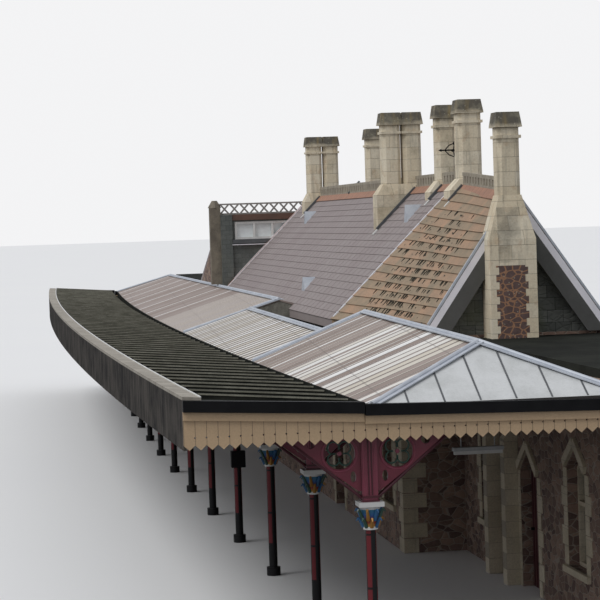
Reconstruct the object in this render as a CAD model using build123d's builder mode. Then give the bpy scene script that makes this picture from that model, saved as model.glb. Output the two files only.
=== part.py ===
from build123d import *
import math
import os

os.makedirs("parts", exist_ok=True)

# A gothic railway station building with a long curved platform canopy, as a 1:2 scale model.
# X runs from the tracks (-) to the back of the building (+), Y along the platform, Z up.
# The origin is on the ground, under the hall's ridge, halfway along the hall.
# Each size is the real one in millimetres, times SCALE.
SCALE = 0.5

# Masonry and floor
WALL = 450 * SCALE
FLOOR_THICKNESS = 150 * SCALE
HALL_LENGTH = 27500 * SCALE
HALL_DEPTH = 5120 * SCALE
HALL_WALL_HEIGHT = 4200 * SCALE
LEAD_FLAT_THICKNESS = 120 * SCALE
WING_SETBACK = 1260 * SCALE
NEAR_WING_LENGTH = 10400 * SCALE
FAR_WING_LENGTH = 12500 * SCALE
WING_HEIGHT = 4100 * SCALE
FAR_WING_HEIGHT = 4500 * SCALE
WING_ROOF_THICKNESS = 150 * SCALE
CLERESTORY_LENGTH = 7100 * SCALE
CLERESTORY_PROJECTION = 340 * SCALE
CLERESTORY_HEIGHT = 6950 * SCALE
CLERESTORY_BACK_HEIGHT = 4600 * SCALE

# Doors and windows
DOOR_WIDTH = 1200 * SCALE
DOOR_HEIGHT = 2500 * SCALE
WINDOW_WIDTH = 1100 * SCALE
WINDOW_HEIGHT = 2000 * SCALE
SILL_HEIGHT = 850 * SCALE
FRAME_BAR = 70 * SCALE
FRAME_DEPTH = 100 * SCALE
GLASS_THICKNESS = 16 * SCALE
DOOR_LEAF_THICKNESS = 60 * SCALE
CLERESTORY_LIGHT_LENGTH = 3600 * SCALE
LIGHTS = 6
TRANSOM_SHARE = 0.62
CLERESTORY_LIGHT_HEIGHT = 560 * SCALE
CLERESTORY_LIGHT_SILL = 6150 * SCALE

# Tall roofs
ROOF_THICKNESS = 130 * SCALE
RIDGE_GAP = 6 * SCALE
GREY_RIDGE_HEIGHT = 7400 * SCALE
GREY_PITCH = 45.0
BROWN_RIDGE_HEIGHT = 7140 * SCALE
BROWN_PITCH = 55.3
BROWN_ROOF_LENGTH = 5750 * SCALE
BROWN_RIDGE_X = -175 * SCALE
GREY_EAVES_OVERHANG = 390 * SCALE
BROWN_EAVES_HEIGHT = 4400 * SCALE
VERGE_OVERHANG = 260 * SCALE
VERGE_BOARD_DEPTH = 300 * SCALE
VERGE_BOARD_THICKNESS = 60 * SCALE
CREST_HEIGHT = 300 * SCALE
CREST_THICKNESS = 60 * SCALE
CREST_PITCH = 300 * SCALE
LATTICE_HEIGHT = 360 * SCALE
LATTICE_BAR = 50 * SCALE
LATTICE_BAYS = 17

# Canopy plan
BAY = 4570 * SCALE
BAY_COUNT = 13
CURVE_RADIUS = 720000 * SCALE
CURVE_MIDDLE = 630 * SCALE
CURVE_MARGIN = 0.001
FIRST_COLUMN = -24650 * SCALE
END_OVERHANG = 500 * SCALE
COLUMN_ROW = -5634 * SCALE
TRACK_OVERHANG = 2820 * SCALE
VALLEY_OFFSET = -150 * SCALE

# Canopy section
DECK_EDGE_HEIGHT = 4170 * SCALE
DECK_VALLEY_HEIGHT = 3970 * SCALE
DECK_THICKNESS = 50 * SCALE
DECK_ROLL_PITCH = 914 * SCALE
DECK_ROLL_WIDTH = 90 * SCALE
DECK_ROLL_HEIGHT = 80 * SCALE
FASCIA_BOTTOM = 3430 * SCALE
FASCIA_THICKNESS = 45 * SCALE
CAPPING_WIDTH = 280 * SCALE
CAPPING_THICKNESS = 50 * SCALE
GUTTER_WIDTH = 260 * SCALE
GUTTER_DEPTH = 200 * SCALE
GUTTER_WALL = 30 * SCALE
CANOPY_SHEET = 40 * SCALE
NEAR_CANOPY_RISE = 780 * SCALE
MID_CANOPY_RISE = 500 * SCALE
FAR_CANOPY_RISE = 750 * SCALE
MID_CANOPY_LENGTH = 12400 * SCALE
HIP_RUN = 1500 * SCALE
SHEET_GAP = 6 * SCALE
NEAR_RIDGE_X = -3230 * SCALE
MID_RIDGE_X = -3950 * SCALE
FAR_RIDGE_X = -3200 * SCALE
FAR_RIDGE_END_X = -2750 * SCALE
RIDGE_ROLL_RADIUS = 45 * SCALE

# Columns and brackets
COLUMN_RADIUS = 80 * SCALE
COLUMN_BASE_RADIUS = 130 * SCALE
COLUMN_BASE_HEIGHT = 160 * SCALE
SHAFT_HEIGHT = 2100 * SCALE
CAPITAL_HEIGHT = 400 * SCALE
ABACUS_SIDE = 380 * SCALE
ABACUS_THICKNESS = 70 * SCALE
POST_SIDE = 220 * SCALE
GIRDER_BOTTOM = 3560 * SCALE
GIRDER_WIDTH = 120 * SCALE
BRACKET_REACH = 1150 * SCALE
BRACKET_RISE = 900 * SCALE
BRACKET_THICKNESS = 60 * SCALE
BRACKET_FLANGE = 60 * SCALE
BRACKET_RING_RADIUS = 270 * SCALE
BRACKET_RING_WALL = 35 * SCALE
SMALL_RING_RADIUS = 105 * SCALE
RAFTER_WIDTH = 90 * SCALE
RAFTER_DEPTH = 220 * SCALE
RAFTER_TIP_DEPTH = 90 * SCALE

# End valances
VALANCE_THICKNESS = 25 * SCALE
VALANCE_BOARD = 167.5 * SCALE
VALANCE_TOOTH = 75 * SCALE
VALANCE_TOP = 4000 * SCALE
VALANCE_VALLEY_TOP = 3865 * SCALE
VALANCE_STEP = 30 * SCALE
VALANCE_INNER_TOP = 3745 * SCALE
VALANCE_HOLE = 14 * SCALE
VALANCE_HOLE_RISE = 110 * SCALE
HEAD_BOARD_HEIGHT = 125 * SCALE
HEAD_BOARD_THICKNESS = 40 * SCALE
END_GUTTER_DEPTH = 170 * SCALE
END_GUTTER_WIDTH = 130 * SCALE

# Chimneys
SHAFT_SIDE = 530 * SCALE
SLIM_SHAFT_SIDE = 460 * SCALE
CHIMNEY_BREAST = 945 * SCALE
CHIMNEY_BASE_DEPTH = 700 * SCALE
CHIMNEY_TOP = 9270 * SCALE
NEAR_CHIMNEY_TOP = 8720 * SCALE
CAP_HEIGHT = 300 * SCALE
CAP_OVERHANG = 45 * SCALE
NECK_DROP = 220 * SCALE
NECK_HEIGHT = 60 * SCALE
SHAFT_CHAMFER = 90 * SCALE
SHAFT_LENGTH = 1750 * SCALE
NEAR_CHIMNEY_X = -345 * SCALE
NEAR_SHOULDER_HEIGHT = 6210 * SCALE
NEAR_SHAFT_HEIGHT = 7080 * SCALE
BASE_OFFSET = 120 * SCALE
BASE_SHOULDER = 260 * SCALE

# Buttresses, vents and finial
BUTTRESS_WIDTH = 300 * SCALE
BUTTRESS_DEPTH = 260 * SCALE
BUTTRESS_HEIGHT = 3000 * SCALE
BUTTRESS_WEATHERING = 350 * SCALE
PIER_WIDTH = 360 * SCALE
PIER_DEPTH = 90 * SCALE
VENT_WIDTH = 330 * SCALE
FINIAL_RADIUS = 25 * SCALE
FINIAL_BALL_RADIUS = 60 * SCALE
FINIAL_HEIGHT = 900 * SCALE

# Places worked out from the sizes above
HALL_HALF = HALL_LENGTH / 2
FRONT = -HALL_DEPTH / 2
BACK = HALL_DEPTH / 2
WING_FRONT = FRONT + WING_SETBACK
NEAR_WING_END = -HALL_HALF - NEAR_WING_LENGTH
CLERESTORY_START = HALL_HALF
CLERESTORY_END = CLERESTORY_START + CLERESTORY_LENGTH
CLERESTORY_FRONT = FRONT - CLERESTORY_PROJECTION
FAR_WING_END = CLERESTORY_END + FAR_WING_LENGTH
ROOF_STEP = -HALL_HALF + BROWN_ROOF_LENGTH
CANOPY_START = FIRST_COLUMN - END_OVERHANG
CANOPY_END = FIRST_COLUMN + BAY_COUNT * BAY + END_OVERHANG
MID_CANOPY_START = -HALL_HALF
MID_CANOPY_END = MID_CANOPY_START + MID_CANOPY_LENGTH
GREY_SLOPE = math.tan(math.radians(GREY_PITCH))
BROWN_SLOPE = math.tan(math.radians(BROWN_PITCH))
GREY_DROP = ROOF_THICKNESS / math.cos(math.radians(GREY_PITCH))
BROWN_DROP = ROOF_THICKNESS / math.cos(math.radians(BROWN_PITCH))
BROWN_EAVES = (BROWN_RIDGE_HEIGHT - BROWN_EAVES_HEIGHT) / BROWN_SLOPE
LIGHT_FRONT = CLERESTORY_FRONT + WALL
LEAD_TOP = HALL_WALL_HEIGHT + LEAD_FLAT_THICKNESS
GREY_EAVES = BACK + GREY_EAVES_OVERHANG
VERGE = -HALL_HALF - VERGE_OVERHANG
TWIST_START = -HALL_HALF + WALL
CURVE_CENTRE = COLUMN_ROW + CURVE_RADIUS


def curve_x(offset, y):
    """The X of a canopy line at y, where offset is its X at the curve's middle."""
    radius = CURVE_CENTRE - offset
    return CURVE_CENTRE - math.sqrt(radius ** 2 - (y - CURVE_MIDDLE) ** 2)


def save(part, label):
    """Label a finished sub-part and write its STEP file."""
    part.label = label
    export_step(part, f"parts/{label}.step")


def strip_outline(left, right, start, end, mode=Mode.ADD):
    """Draw the plan of a curved strip, between two canopy lines, in the open sketch."""
    middle = (start + end) / 2
    with BuildLine() as outline:
        ThreePointArc((curve_x(left, start), start), (curve_x(left, middle), middle), (curve_x(left, end), end))
        Line((curve_x(left, end), end), (curve_x(right, end), end))
        ThreePointArc((curve_x(right, end), end), (curve_x(right, middle), middle), (curve_x(right, start), start))
        Line((curve_x(right, start), start), (curve_x(left, start), start))
    make_face(outline.edges(), mode=mode)


def sweep_section(corners, start=CANOPY_START, end=CANOPY_END, mode=Mode.ADD):
    """Sweep a section along the platform's curve in the open part, from start to end.

    The corners are (x, z) pairs where the curve is nearest to the tracks.
    """
    first = math.asin((start - CURVE_MIDDLE) / CURVE_RADIUS) - CURVE_MARGIN
    last = math.asin((end - CURVE_MIDDLE) / CURVE_RADIUS) + CURVE_MARGIN
    outward = (-math.cos(first), math.sin(first), 0)
    plane = Plane(origin=(CURVE_CENTRE, CURVE_MIDDLE, 0), x_dir=outward, z_dir=(math.sin(first), math.cos(first), 0))
    with BuildSketch(plane) as section:
        Polygon(*[(CURVE_CENTRE - x, z) for x, z in corners], align=None)
    axis = Axis((CURVE_CENTRE, CURVE_MIDDLE, 0), (0, 0, -1))
    revolve(section.sketch, axis=axis, revolution_arc=math.degrees(last - first), mode=mode)


def trim_ends(start=CANOPY_START, end=CANOPY_END):
    """Cut the open part square at both ends of the canopy."""
    split(bisect_by=Plane(origin=(0, start, 0), z_dir=(0, 1, 0)), keep=Keep.TOP)
    split(bisect_by=Plane(origin=(0, end, 0), z_dir=(0, 1, 0)), keep=Keep.BOTTOM)


def curved_bar(label, corners):
    """Write a bar of one section that follows the platform's curve."""
    with BuildPart() as bar:
        sweep_section(corners)
        trim_ends()
    save(bar.part, label)


def plane_through(first, second, third):
    """The plane through three points, facing up."""
    a, b, c = Vector(*first), Vector(*second), Vector(*third)
    normal = (b - a).cross(c - a)
    if normal.Z < 0:
        normal = normal * -1
    return Plane(origin=a, z_dir=normal)


def lowered(plane, drop):
    """The same plane, drop lower."""
    return Plane(origin=plane.origin - Vector(0, 0, drop), z_dir=plane.z_dir)


def wall_outline(length, height, doors, windows, heads):
    """Draw a wall's face, with its door and window openings, along the sketch's own X."""
    with Locations((length / 2, height / 2)):
        Rectangle(length, height)
    for centre in doors:
        opening(centre, 0, DOOR_WIDTH, DOOR_HEIGHT, heads)
    for centre in windows:
        opening(centre, SILL_HEIGHT, WINDOW_WIDTH, WINDOW_HEIGHT, heads)


def opening(centre, bottom, width, height, pointed):
    """Cut one opening, with a low pointed head where pointed is set."""
    spring = bottom + height - (width / 3 if pointed else 0)
    corners = [(centre - width / 2, bottom), (centre + width / 2, bottom), (centre + width / 2, spring),
               (centre, bottom + height), (centre - width / 2, spring)]
    if not pointed:
        corners.pop(3)
    Polygon(*corners, align=None, mode=Mode.SUBTRACT)


def long_wall(label, face_x, start, end, height, doors=(), windows=(), pointed=True, trim=None, keep=Keep.BOTTOM):
    """Write a wall along Y whose face nearer the tracks is at face_x."""
    side = Plane(origin=(face_x, start, 0), x_dir=(0, 1, 0), z_dir=(1, 0, 0))
    with BuildPart() as wall:
        with BuildSketch(side):
            wall_outline(end - start, height, [d - start for d in doors], [w - start for w in windows], pointed)
        extrude(amount=WALL)
        if trim is not None:
            split(bisect_by=trim, keep=keep)
    save(wall.part, label)


def cross_wall(label, face_y, left, right, height, doors=(), windows=(), pointed=True):
    """Write a wall along X whose near face is at face_y."""
    side = Plane(origin=(left, face_y, 0), x_dir=(1, 0, 0), z_dir=(0, -1, 0))
    with BuildPart() as wall:
        with BuildSketch(side):
            wall_outline(right - left, height, [d - left for d in doors], [w - left for w in windows], pointed)
        extrude(amount=-WALL)
    save(wall.part, label)


def gable_wall(label, face_y, height, ridge, slope, drop, ridge_x=0):
    """Write a cross wall of the hall that rises into a gable under its roof."""
    eaves = (ridge - drop - height) / slope
    half = min(eaves, BACK)
    shoulder = ridge - drop - half * slope
    side = Plane(origin=(0, face_y, 0), x_dir=(1, 0, 0), z_dir=(0, -1, 0))
    with BuildPart() as wall:
        with BuildSketch(side):
            with BuildLine():
                Polyline((FRONT, 0), (BACK, 0), (BACK, height), (ridge_x + half, shoulder), (ridge_x, ridge - drop),
                         (ridge_x - half, shoulder), (FRONT, height), close=True)
            make_face()
        extrude(amount=-WALL)
    save(wall.part, label)


def section_face(corners, y):
    """An upright face across the hall at y, from its (x, z) corners."""
    with BuildSketch(Plane(origin=(0, y, 0), x_dir=(1, 0, 0), z_dir=(0, -1, 0))) as face:
        Polygon(*corners, align=None)
    return face.sketch.face()


def grey_roof():
    """Write the two slopes of the grey roof, which lean together at the ridge."""
    with BuildPart() as roof:
        for side in (-1, 1):
            corners = slope_section(side, 0, GREY_RIDGE_HEIGHT, GREY_SLOPE, GREY_DROP, GREY_EAVES)
            extrude(section_face(corners, ROOF_STEP), amount=-(HALL_HALF - ROOF_STEP))
    save(roof.part, "grey_roof")
    return roof.part


def brown_roof():
    """Write the brown roof: steep at the near gable, then turning into the grey roof's section."""
    with BuildPart() as roof:
        for side in (-1, 1):
            steep = slope_section(side, BROWN_RIDGE_X, BROWN_RIDGE_HEIGHT, BROWN_SLOPE, BROWN_DROP, BROWN_EAVES)
            flat = slope_section(side, 0, GREY_RIDGE_HEIGHT, GREY_SLOPE, GREY_DROP, GREY_EAVES)
            extrude(section_face(steep, VERGE), amount=-(TWIST_START - VERGE))
            loft([section_face(steep, TWIST_START), section_face(flat, ROOF_STEP)], ruled=True)
        split(bisect_by=Plane.XY.offset(LEAD_TOP), keep=Keep.TOP)
        add(NEAR_CHIMNEY, mode=Mode.SUBTRACT)
    save(roof.part, "brown_roof")
    return roof.part


def slope_section(side, ridge_x, top, slope, drop, eaves):
    """The corners of a sloping sheet's section, from the ridge to the eaves."""
    return [(ridge_x + side * RIDGE_GAP, top - RIDGE_GAP * slope), (ridge_x + side * eaves, top - eaves * slope),
            (ridge_x + side * eaves, top - eaves * slope - drop),
            (ridge_x + side * RIDGE_GAP, top - RIDGE_GAP * slope - drop)]


def attic_section(ridge_x, top, slope, drop, eaves):
    """The corners of the space under both sheets of a roof."""
    left = slope_section(-1, ridge_x, top, slope, drop, eaves)
    right = slope_section(1, ridge_x, top, slope, drop, eaves)
    return [left[3], left[2], right[2], right[3]]


def ridge_at(y):
    """The hall's ridge at y: its X, its height and the slope beside it."""
    share = min(max((y - TWIST_START) / (ROOF_STEP - TWIST_START), 0), 1)
    ridge_x = BROWN_RIDGE_X * (1 - share)
    height = BROWN_RIDGE_HEIGHT + (GREY_RIDGE_HEIGHT - BROWN_RIDGE_HEIGHT) * share
    half = BROWN_EAVES + (GREY_EAVES - BROWN_EAVES) * share
    fall = BROWN_EAVES * BROWN_SLOPE * (1 - share) + GREY_EAVES * GREY_SLOPE * share
    return ridge_x, height, fall / half


def inside_roof(side, y):
    """A plane within the thickness of the roof's slope on one side of the ridge, at y."""
    ridge_x, height, slope = ridge_at(y)
    middle = height - ROOF_THICKNESS * 0.6
    lower = middle - WALL * slope
    return plane_through((ridge_x, y, middle), (ridge_x, y + WALL, middle), (ridge_x + side * WALL, y, lower))


# Openings along the fronts, as places along Y
HALL_BAY = HALL_LENGTH / 9
hall_doors = [-HALL_HALF + HALL_BAY * n for n in (2.5, 6.5)]
hall_windows = [-HALL_HALF + HALL_BAY * n for n in (0.5, 1.5, 3.5, 4.5, 5.5, 7.5, 8.5)]
near_wing_windows = [NEAR_WING_END + NEAR_WING_LENGTH * share for share in (0.2, 0.8)]
near_wing_doors = [NEAR_WING_END + NEAR_WING_LENGTH * 0.5]
far_wing_windows = [CLERESTORY_END + FAR_WING_LENGTH * share for share in (0.18, 0.82)]
far_wing_doors = [CLERESTORY_END + FAR_WING_LENGTH * 0.5]
clerestory_doors = [(CLERESTORY_START + CLERESTORY_END) / 2]


# Walls
grey_under = Plane(origin=(0, 0, GREY_RIDGE_HEIGHT - GREY_DROP), z_dir=(-GREY_SLOPE, 0, 1))
grey_under_back = Plane(origin=(0, 0, GREY_RIDGE_HEIGHT - GREY_DROP), z_dir=(GREY_SLOPE, 0, 1))
HALL_INNER_START = -HALL_HALF + WALL
HALL_INNER_END = HALL_HALF - WALL
long_wall("hall_front_wall", FRONT, HALL_INNER_START, HALL_INNER_END, HALL_WALL_HEIGHT, hall_doors, hall_windows)
long_wall("hall_back_wall", BACK - WALL, HALL_INNER_START, HALL_INNER_END, HALL_WALL_HEIGHT, hall_doors,
          hall_windows)
gable_wall("near_gable_wall", -HALL_HALF, LEAD_TOP, BROWN_RIDGE_HEIGHT, BROWN_SLOPE, BROWN_DROP, BROWN_RIDGE_X)
gable_wall("far_gable_wall", HALL_HALF - WALL, HALL_WALL_HEIGHT, GREY_RIDGE_HEIGHT, GREY_SLOPE, GREY_DROP)

long_wall("near_wing_front_wall", WING_FRONT, NEAR_WING_END + WALL, -HALL_HALF, WING_HEIGHT, near_wing_doors,
          near_wing_windows)
long_wall("near_wing_back_wall", BACK - WALL, NEAR_WING_END + WALL, -HALL_HALF, WING_HEIGHT, near_wing_doors,
          near_wing_windows)
cross_wall("near_wing_end_wall", NEAR_WING_END, WING_FRONT, BACK, WING_HEIGHT,
           windows=[(WING_FRONT + BACK) / 2])
long_wall("far_wing_front_wall", FRONT, CLERESTORY_END, FAR_WING_END - WALL, FAR_WING_HEIGHT, far_wing_doors,
          far_wing_windows)
long_wall("far_wing_back_wall", BACK - WALL, CLERESTORY_END, FAR_WING_END - WALL, FAR_WING_HEIGHT, far_wing_doors,
          far_wing_windows)
cross_wall("far_wing_end_wall", FAR_WING_END - WALL, FRONT, BACK, FAR_WING_HEIGHT, windows=[0])


# Masonry above the hall's wall heads, as a band under each eave
attic_ends = [section_face(attic_section(BROWN_RIDGE_X, BROWN_RIDGE_HEIGHT, BROWN_SLOPE, BROWN_DROP, BROWN_EAVES),
                           TWIST_START),
              section_face(attic_section(0, GREY_RIDGE_HEIGHT, GREY_SLOPE, GREY_DROP, GREY_EAVES), ROOF_STEP)]
with BuildPart() as twisted_heads:
    loft(attic_ends, ruled=True)
    with BuildSketch(Plane.XY.offset(LEAD_TOP)) as bands:
        for left in (FRONT, BACK - WALL):
            with Locations((left + WALL / 2, (HALL_INNER_START + ROOF_STEP) / 2)):
                Rectangle(WALL, ROOF_STEP - HALL_INNER_START)
    extrude(bands.sketch, amount=GREY_RIDGE_HEIGHT, mode=Mode.INTERSECT)
with BuildPart() as wall_heads:
    with BuildSketch(Plane.XY.offset(HALL_WALL_HEIGHT)):
        for left in (FRONT, BACK - WALL):
            with Locations((left + WALL / 2, (ROOF_STEP + HALL_INNER_END) / 2)):
                Rectangle(WALL, HALL_INNER_END - ROOF_STEP)
    extrude(amount=GREY_RIDGE_HEIGHT)
    split(bisect_by=grey_under, keep=Keep.BOTTOM)
    split(bisect_by=grey_under_back, keep=Keep.BOTTOM)
    add(twisted_heads.part)
save(wall_heads.part, "wall_heads")

# Lead flat under the brown roof, on the hall's walls
with BuildPart() as lead_flat:
    with BuildSketch(Plane.XY.offset(HALL_WALL_HEIGHT)):
        with Locations((0, (HALL_INNER_START + ROOF_STEP) / 2)):
            Rectangle(HALL_DEPTH, ROOF_STEP - HALL_INNER_START)
    extrude(amount=LEAD_FLAT_THICKNESS)
save(lead_flat.part, "lead_flat")


# Floors: one slab in each room
def room_floors():
    """Write the ground floor slabs, one solid in each room."""
    rooms = (
        (WING_FRONT + WALL, BACK - WALL, NEAR_WING_END + WALL, -HALL_HALF),
        (FRONT + WALL, BACK - WALL, HALL_INNER_START, HALL_INNER_END),
        (CLERESTORY_FRONT + WALL, BACK - WALL, CLERESTORY_START + WALL, CLERESTORY_END - WALL),
        (FRONT + WALL, BACK - WALL, CLERESTORY_END, FAR_WING_END - WALL),
    )
    with BuildPart() as floors:
        with BuildSketch():
            for left, right, start, end in rooms:
                with Locations(((left + right) / 2, (start + end) / 2)):
                    Rectangle(right - left, end - start)
        extrude(amount=FLOOR_THICKNESS)
    save(floors.part, "ground_floors")


room_floors()


# Flat roofs of the two wings
with BuildPart() as wing_roofs:
    for left, start, end, height in ((WING_FRONT, NEAR_WING_END, -HALL_HALF, WING_HEIGHT),
                                     (FRONT, CLERESTORY_END, FAR_WING_END, FAR_WING_HEIGHT)):
        with BuildSketch(Plane.XY.offset(height)):
            with Locations(((left + BACK) / 2, (start + end) / 2)):
                Rectangle(BACK - left, end - start)
        extrude(amount=WING_ROOF_THICKNESS)
save(wing_roofs.part, "wing_roofs")


# Clerestory block: a slate-hung wall with a high glazed strip, under a roof that falls away
clerestory_slope = (CLERESTORY_HEIGHT - CLERESTORY_BACK_HEIGHT) / CLERESTORY_LENGTH
CLERESTORY_DROP = ROOF_THICKNESS * math.sqrt(1 + clerestory_slope ** 2)
LIGHT_CENTRE_X = LIGHT_FRONT + CLERESTORY_LIGHT_LENGTH / 2


def clerestory():
    """Write the clerestory block's four walls, roof, frame and glass."""
    near = Plane(origin=(0, CLERESTORY_START, 0), x_dir=(1, 0, 0), z_dir=(0, -1, 0))
    light_middle = CLERESTORY_LIGHT_SILL + CLERESTORY_LIGHT_HEIGHT / 2
    with BuildPart() as near_wall:
        with BuildSketch(near):
            with Locations(((CLERESTORY_FRONT + BACK) / 2, CLERESTORY_HEIGHT / 2)):
                Rectangle(BACK - CLERESTORY_FRONT, CLERESTORY_HEIGHT)
            with Locations((LIGHT_CENTRE_X, light_middle)):
                Rectangle(CLERESTORY_LIGHT_LENGTH, CLERESTORY_LIGHT_HEIGHT, mode=Mode.SUBTRACT)
        extrude(amount=-WALL)
    save(near_wall.part, "clerestory_near_wall")

    side = Plane(origin=(CLERESTORY_FRONT, 0, 0), x_dir=(0, 1, 0), z_dir=(1, 0, 0))
    start = CLERESTORY_START + WALL
    end = CLERESTORY_END - WALL
    start_top = CLERESTORY_HEIGHT - CLERESTORY_DROP - WALL * clerestory_slope
    end_top = CLERESTORY_HEIGHT - CLERESTORY_DROP - (end - CLERESTORY_START) * clerestory_slope
    for label, face_x in (("clerestory_front_wall", CLERESTORY_FRONT), ("clerestory_back_wall", BACK - WALL)):
        with BuildPart() as side_wall:
            with BuildSketch(Plane(origin=(face_x, 0, 0), x_dir=(0, 1, 0), z_dir=(1, 0, 0))):
                with BuildLine():
                    Polyline((start, 0), (end, 0), (end, end_top), (start, start_top), close=True)
                make_face()
                opening(clerestory_doors[0], 0, DOOR_WIDTH, DOOR_HEIGHT, True)
            extrude(amount=WALL)
        save(side_wall.part, label)
    far_top = CLERESTORY_HEIGHT - CLERESTORY_DROP - CLERESTORY_LENGTH * clerestory_slope
    with BuildPart() as far_wall:
        with BuildSketch(side):
            with BuildLine():
                Polyline((end, 0), (CLERESTORY_END, 0), (CLERESTORY_END, far_top), (end, end_top), close=True)
            make_face()
        extrude(amount=BACK - CLERESTORY_FRONT)
    save(far_wall.part, "clerestory_far_wall")
    with BuildPart() as roof:
        with BuildSketch(side):
            with BuildLine():
                Polyline((start, start_top), (CLERESTORY_END, far_top), (CLERESTORY_END, far_top + CLERESTORY_DROP),
                         (start, start_top + CLERESTORY_DROP), close=True)
            make_face()
        extrude(amount=BACK - CLERESTORY_FRONT)
    save(roof.part, "clerestory_roof")


clerestory()


# Diamond lattice cresting on the clerestory wall
def lattice():
    """Write the row of crossed bars between two rails, fused where they cross."""
    length = BACK - CLERESTORY_FRONT
    pitch = length / LATTICE_BAYS
    plane = Plane(origin=((CLERESTORY_FRONT + BACK) / 2, CLERESTORY_START + WALL / 2, CLERESTORY_HEIGHT),
                  x_dir=(1, 0, 0), z_dir=(0, -1, 0))
    diagonal = math.hypot(pitch, LATTICE_HEIGHT)
    lean = math.degrees(math.atan2(LATTICE_HEIGHT, pitch))
    with BuildPart() as cresting:
        with BuildSketch(plane):
            with GridLocations(pitch, 1, LATTICE_BAYS, 1):
                for angle in (lean, -lean):
                    with Locations(Location((0, LATTICE_HEIGHT / 2, 0), angle)):
                        Rectangle(diagonal, LATTICE_BAR)
            with Locations((0, LATTICE_BAR / 2), (0, LATTICE_HEIGHT - LATTICE_BAR / 2)):
                Rectangle(length, LATTICE_BAR)
            with Locations((0, LATTICE_HEIGHT / 2)):
                Rectangle(length, LATTICE_HEIGHT, mode=Mode.INTERSECT)
        extrude(amount=CREST_THICKNESS / 2, both=True)
    save(cresting.part, "lattice_cresting")


lattice()


# Chimneys
def square_at(centre, side, height, depth=None):
    """A level square, or a rectangle where depth is given, at a height."""
    with BuildSketch(Plane.XY.offset(height)) as square:
        with Locations(centre):
            Rectangle(side, depth or side)
    return square.sketch.face()


def shaft(side, centre, bottom, top):
    """Add one chamfered chimney shaft with its neck ring and weathered cap."""
    chamfer_side = side - 2 * SHAFT_CHAMFER
    half = side / 2
    inner = chamfer_side / 2
    x, y = centre
    outline = [(half, inner), (inner, half), (-inner, half), (-half, inner), (-half, -inner), (-inner, -half),
               (inner, -half), (half, -inner)]
    cap_bottom = top - CAP_HEIGHT
    cap = side + 2 * CAP_OVERHANG
    with BuildSketch(Plane.XY.offset(bottom)) as plan:
        with Locations((x, y)):
            Polygon(*outline, align=None)
    extrude(plan.sketch, amount=cap_bottom - bottom)
    extrude(square_at(centre, side + CAP_OVERHANG, cap_bottom - NECK_DROP), amount=NECK_HEIGHT)
    loft([square_at(centre, cap, cap_bottom), square_at(centre, cap * 0.84, top)])


def weathered_base(width, depth, narrow_width, narrow_depth, centre, bottom, shoulder, top):
    """Add a chimney base that narrows in a sloping shoulder to its shafts."""
    extrude(square_at(centre, width, bottom, depth), amount=shoulder - bottom)
    loft([square_at(centre, width, shoulder, depth), square_at(centre, narrow_width, top, narrow_depth)])


def near_chimney():
    """The gable-end chimney, on the wing's roof, with its wide breast and one shaft."""
    centre = (NEAR_CHIMNEY_X, -HALL_HALF - CHIMNEY_BASE_DEPTH / 2)
    with BuildPart() as stack:
        weathered_base(CHIMNEY_BREAST, CHIMNEY_BASE_DEPTH, SLIM_SHAFT_SIDE, SLIM_SHAFT_SIDE, centre,
                       WING_HEIGHT + WING_ROOF_THICKNESS, NEAR_SHOULDER_HEIGHT, NEAR_SHAFT_HEIGHT)
        shaft(SLIM_SHAFT_SIDE, centre, NEAR_SHAFT_HEIGHT, NEAR_CHIMNEY_TOP)
    return stack.part


def ridge_chimney(centre, base_width, shafts, side):
    """A chimney that stands on the hall's roof, its foot cut to the slopes."""
    x, y = centre
    base_top = CHIMNEY_TOP - SHAFT_LENGTH
    top_width = side + max(dx for dx in shafts) * 2
    base_depth = side + BASE_OFFSET
    with BuildPart() as base:
        weathered_base(base_width, base_depth, top_width, side, centre, HALL_WALL_HEIGHT, base_top - BASE_SHOULDER,
                       base_top)
        solids = [base.part.split(inside_roof(hand, y), keep=Keep.TOP) for hand in (-1, 1)]
    with BuildPart() as stack:
        for solid in solids:
            if solid is not None:
                add(solid)
        for dx in shafts:
            shaft(side, (x + dx, y), base_top, CHIMNEY_TOP)
        for roof in (GREY_ROOF, BROWN_ROOF):
            add(roof, mode=Mode.SUBTRACT)
    return stack.part


NEAR_CHIMNEY = near_chimney()
save(NEAR_CHIMNEY, "near_chimney")
GREY_ROOF = grey_roof()
BROWN_ROOF = brown_roof()
PAIR = SLIM_SHAFT_SIDE / 2 + 30 * SCALE
ROOF_CHIMNEYS = [
    ridge_chimney((140 * SCALE, -8620 * SCALE), 1020 * SCALE, (0,), SHAFT_SIDE),
    ridge_chimney((90 * SCALE, -6410 * SCALE), 880 * SCALE, (0,), SLIM_SHAFT_SIDE),
    ridge_chimney((-340 * SCALE, -3280 * SCALE), 1340 * SCALE, (-PAIR, PAIR), SLIM_SHAFT_SIDE),
    ridge_chimney((760 * SCALE, 6340 * SCALE), 880 * SCALE, (0,), SLIM_SHAFT_SIDE),
    ridge_chimney((85 * SCALE, 11540 * SCALE), 1250 * SCALE, (-PAIR, PAIR), SLIM_SHAFT_SIDE),
]
with BuildPart() as roof_chimneys:
    for stack in ROOF_CHIMNEYS:
        add(stack)
save(roof_chimneys.part, "roof_chimneys")


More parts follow.
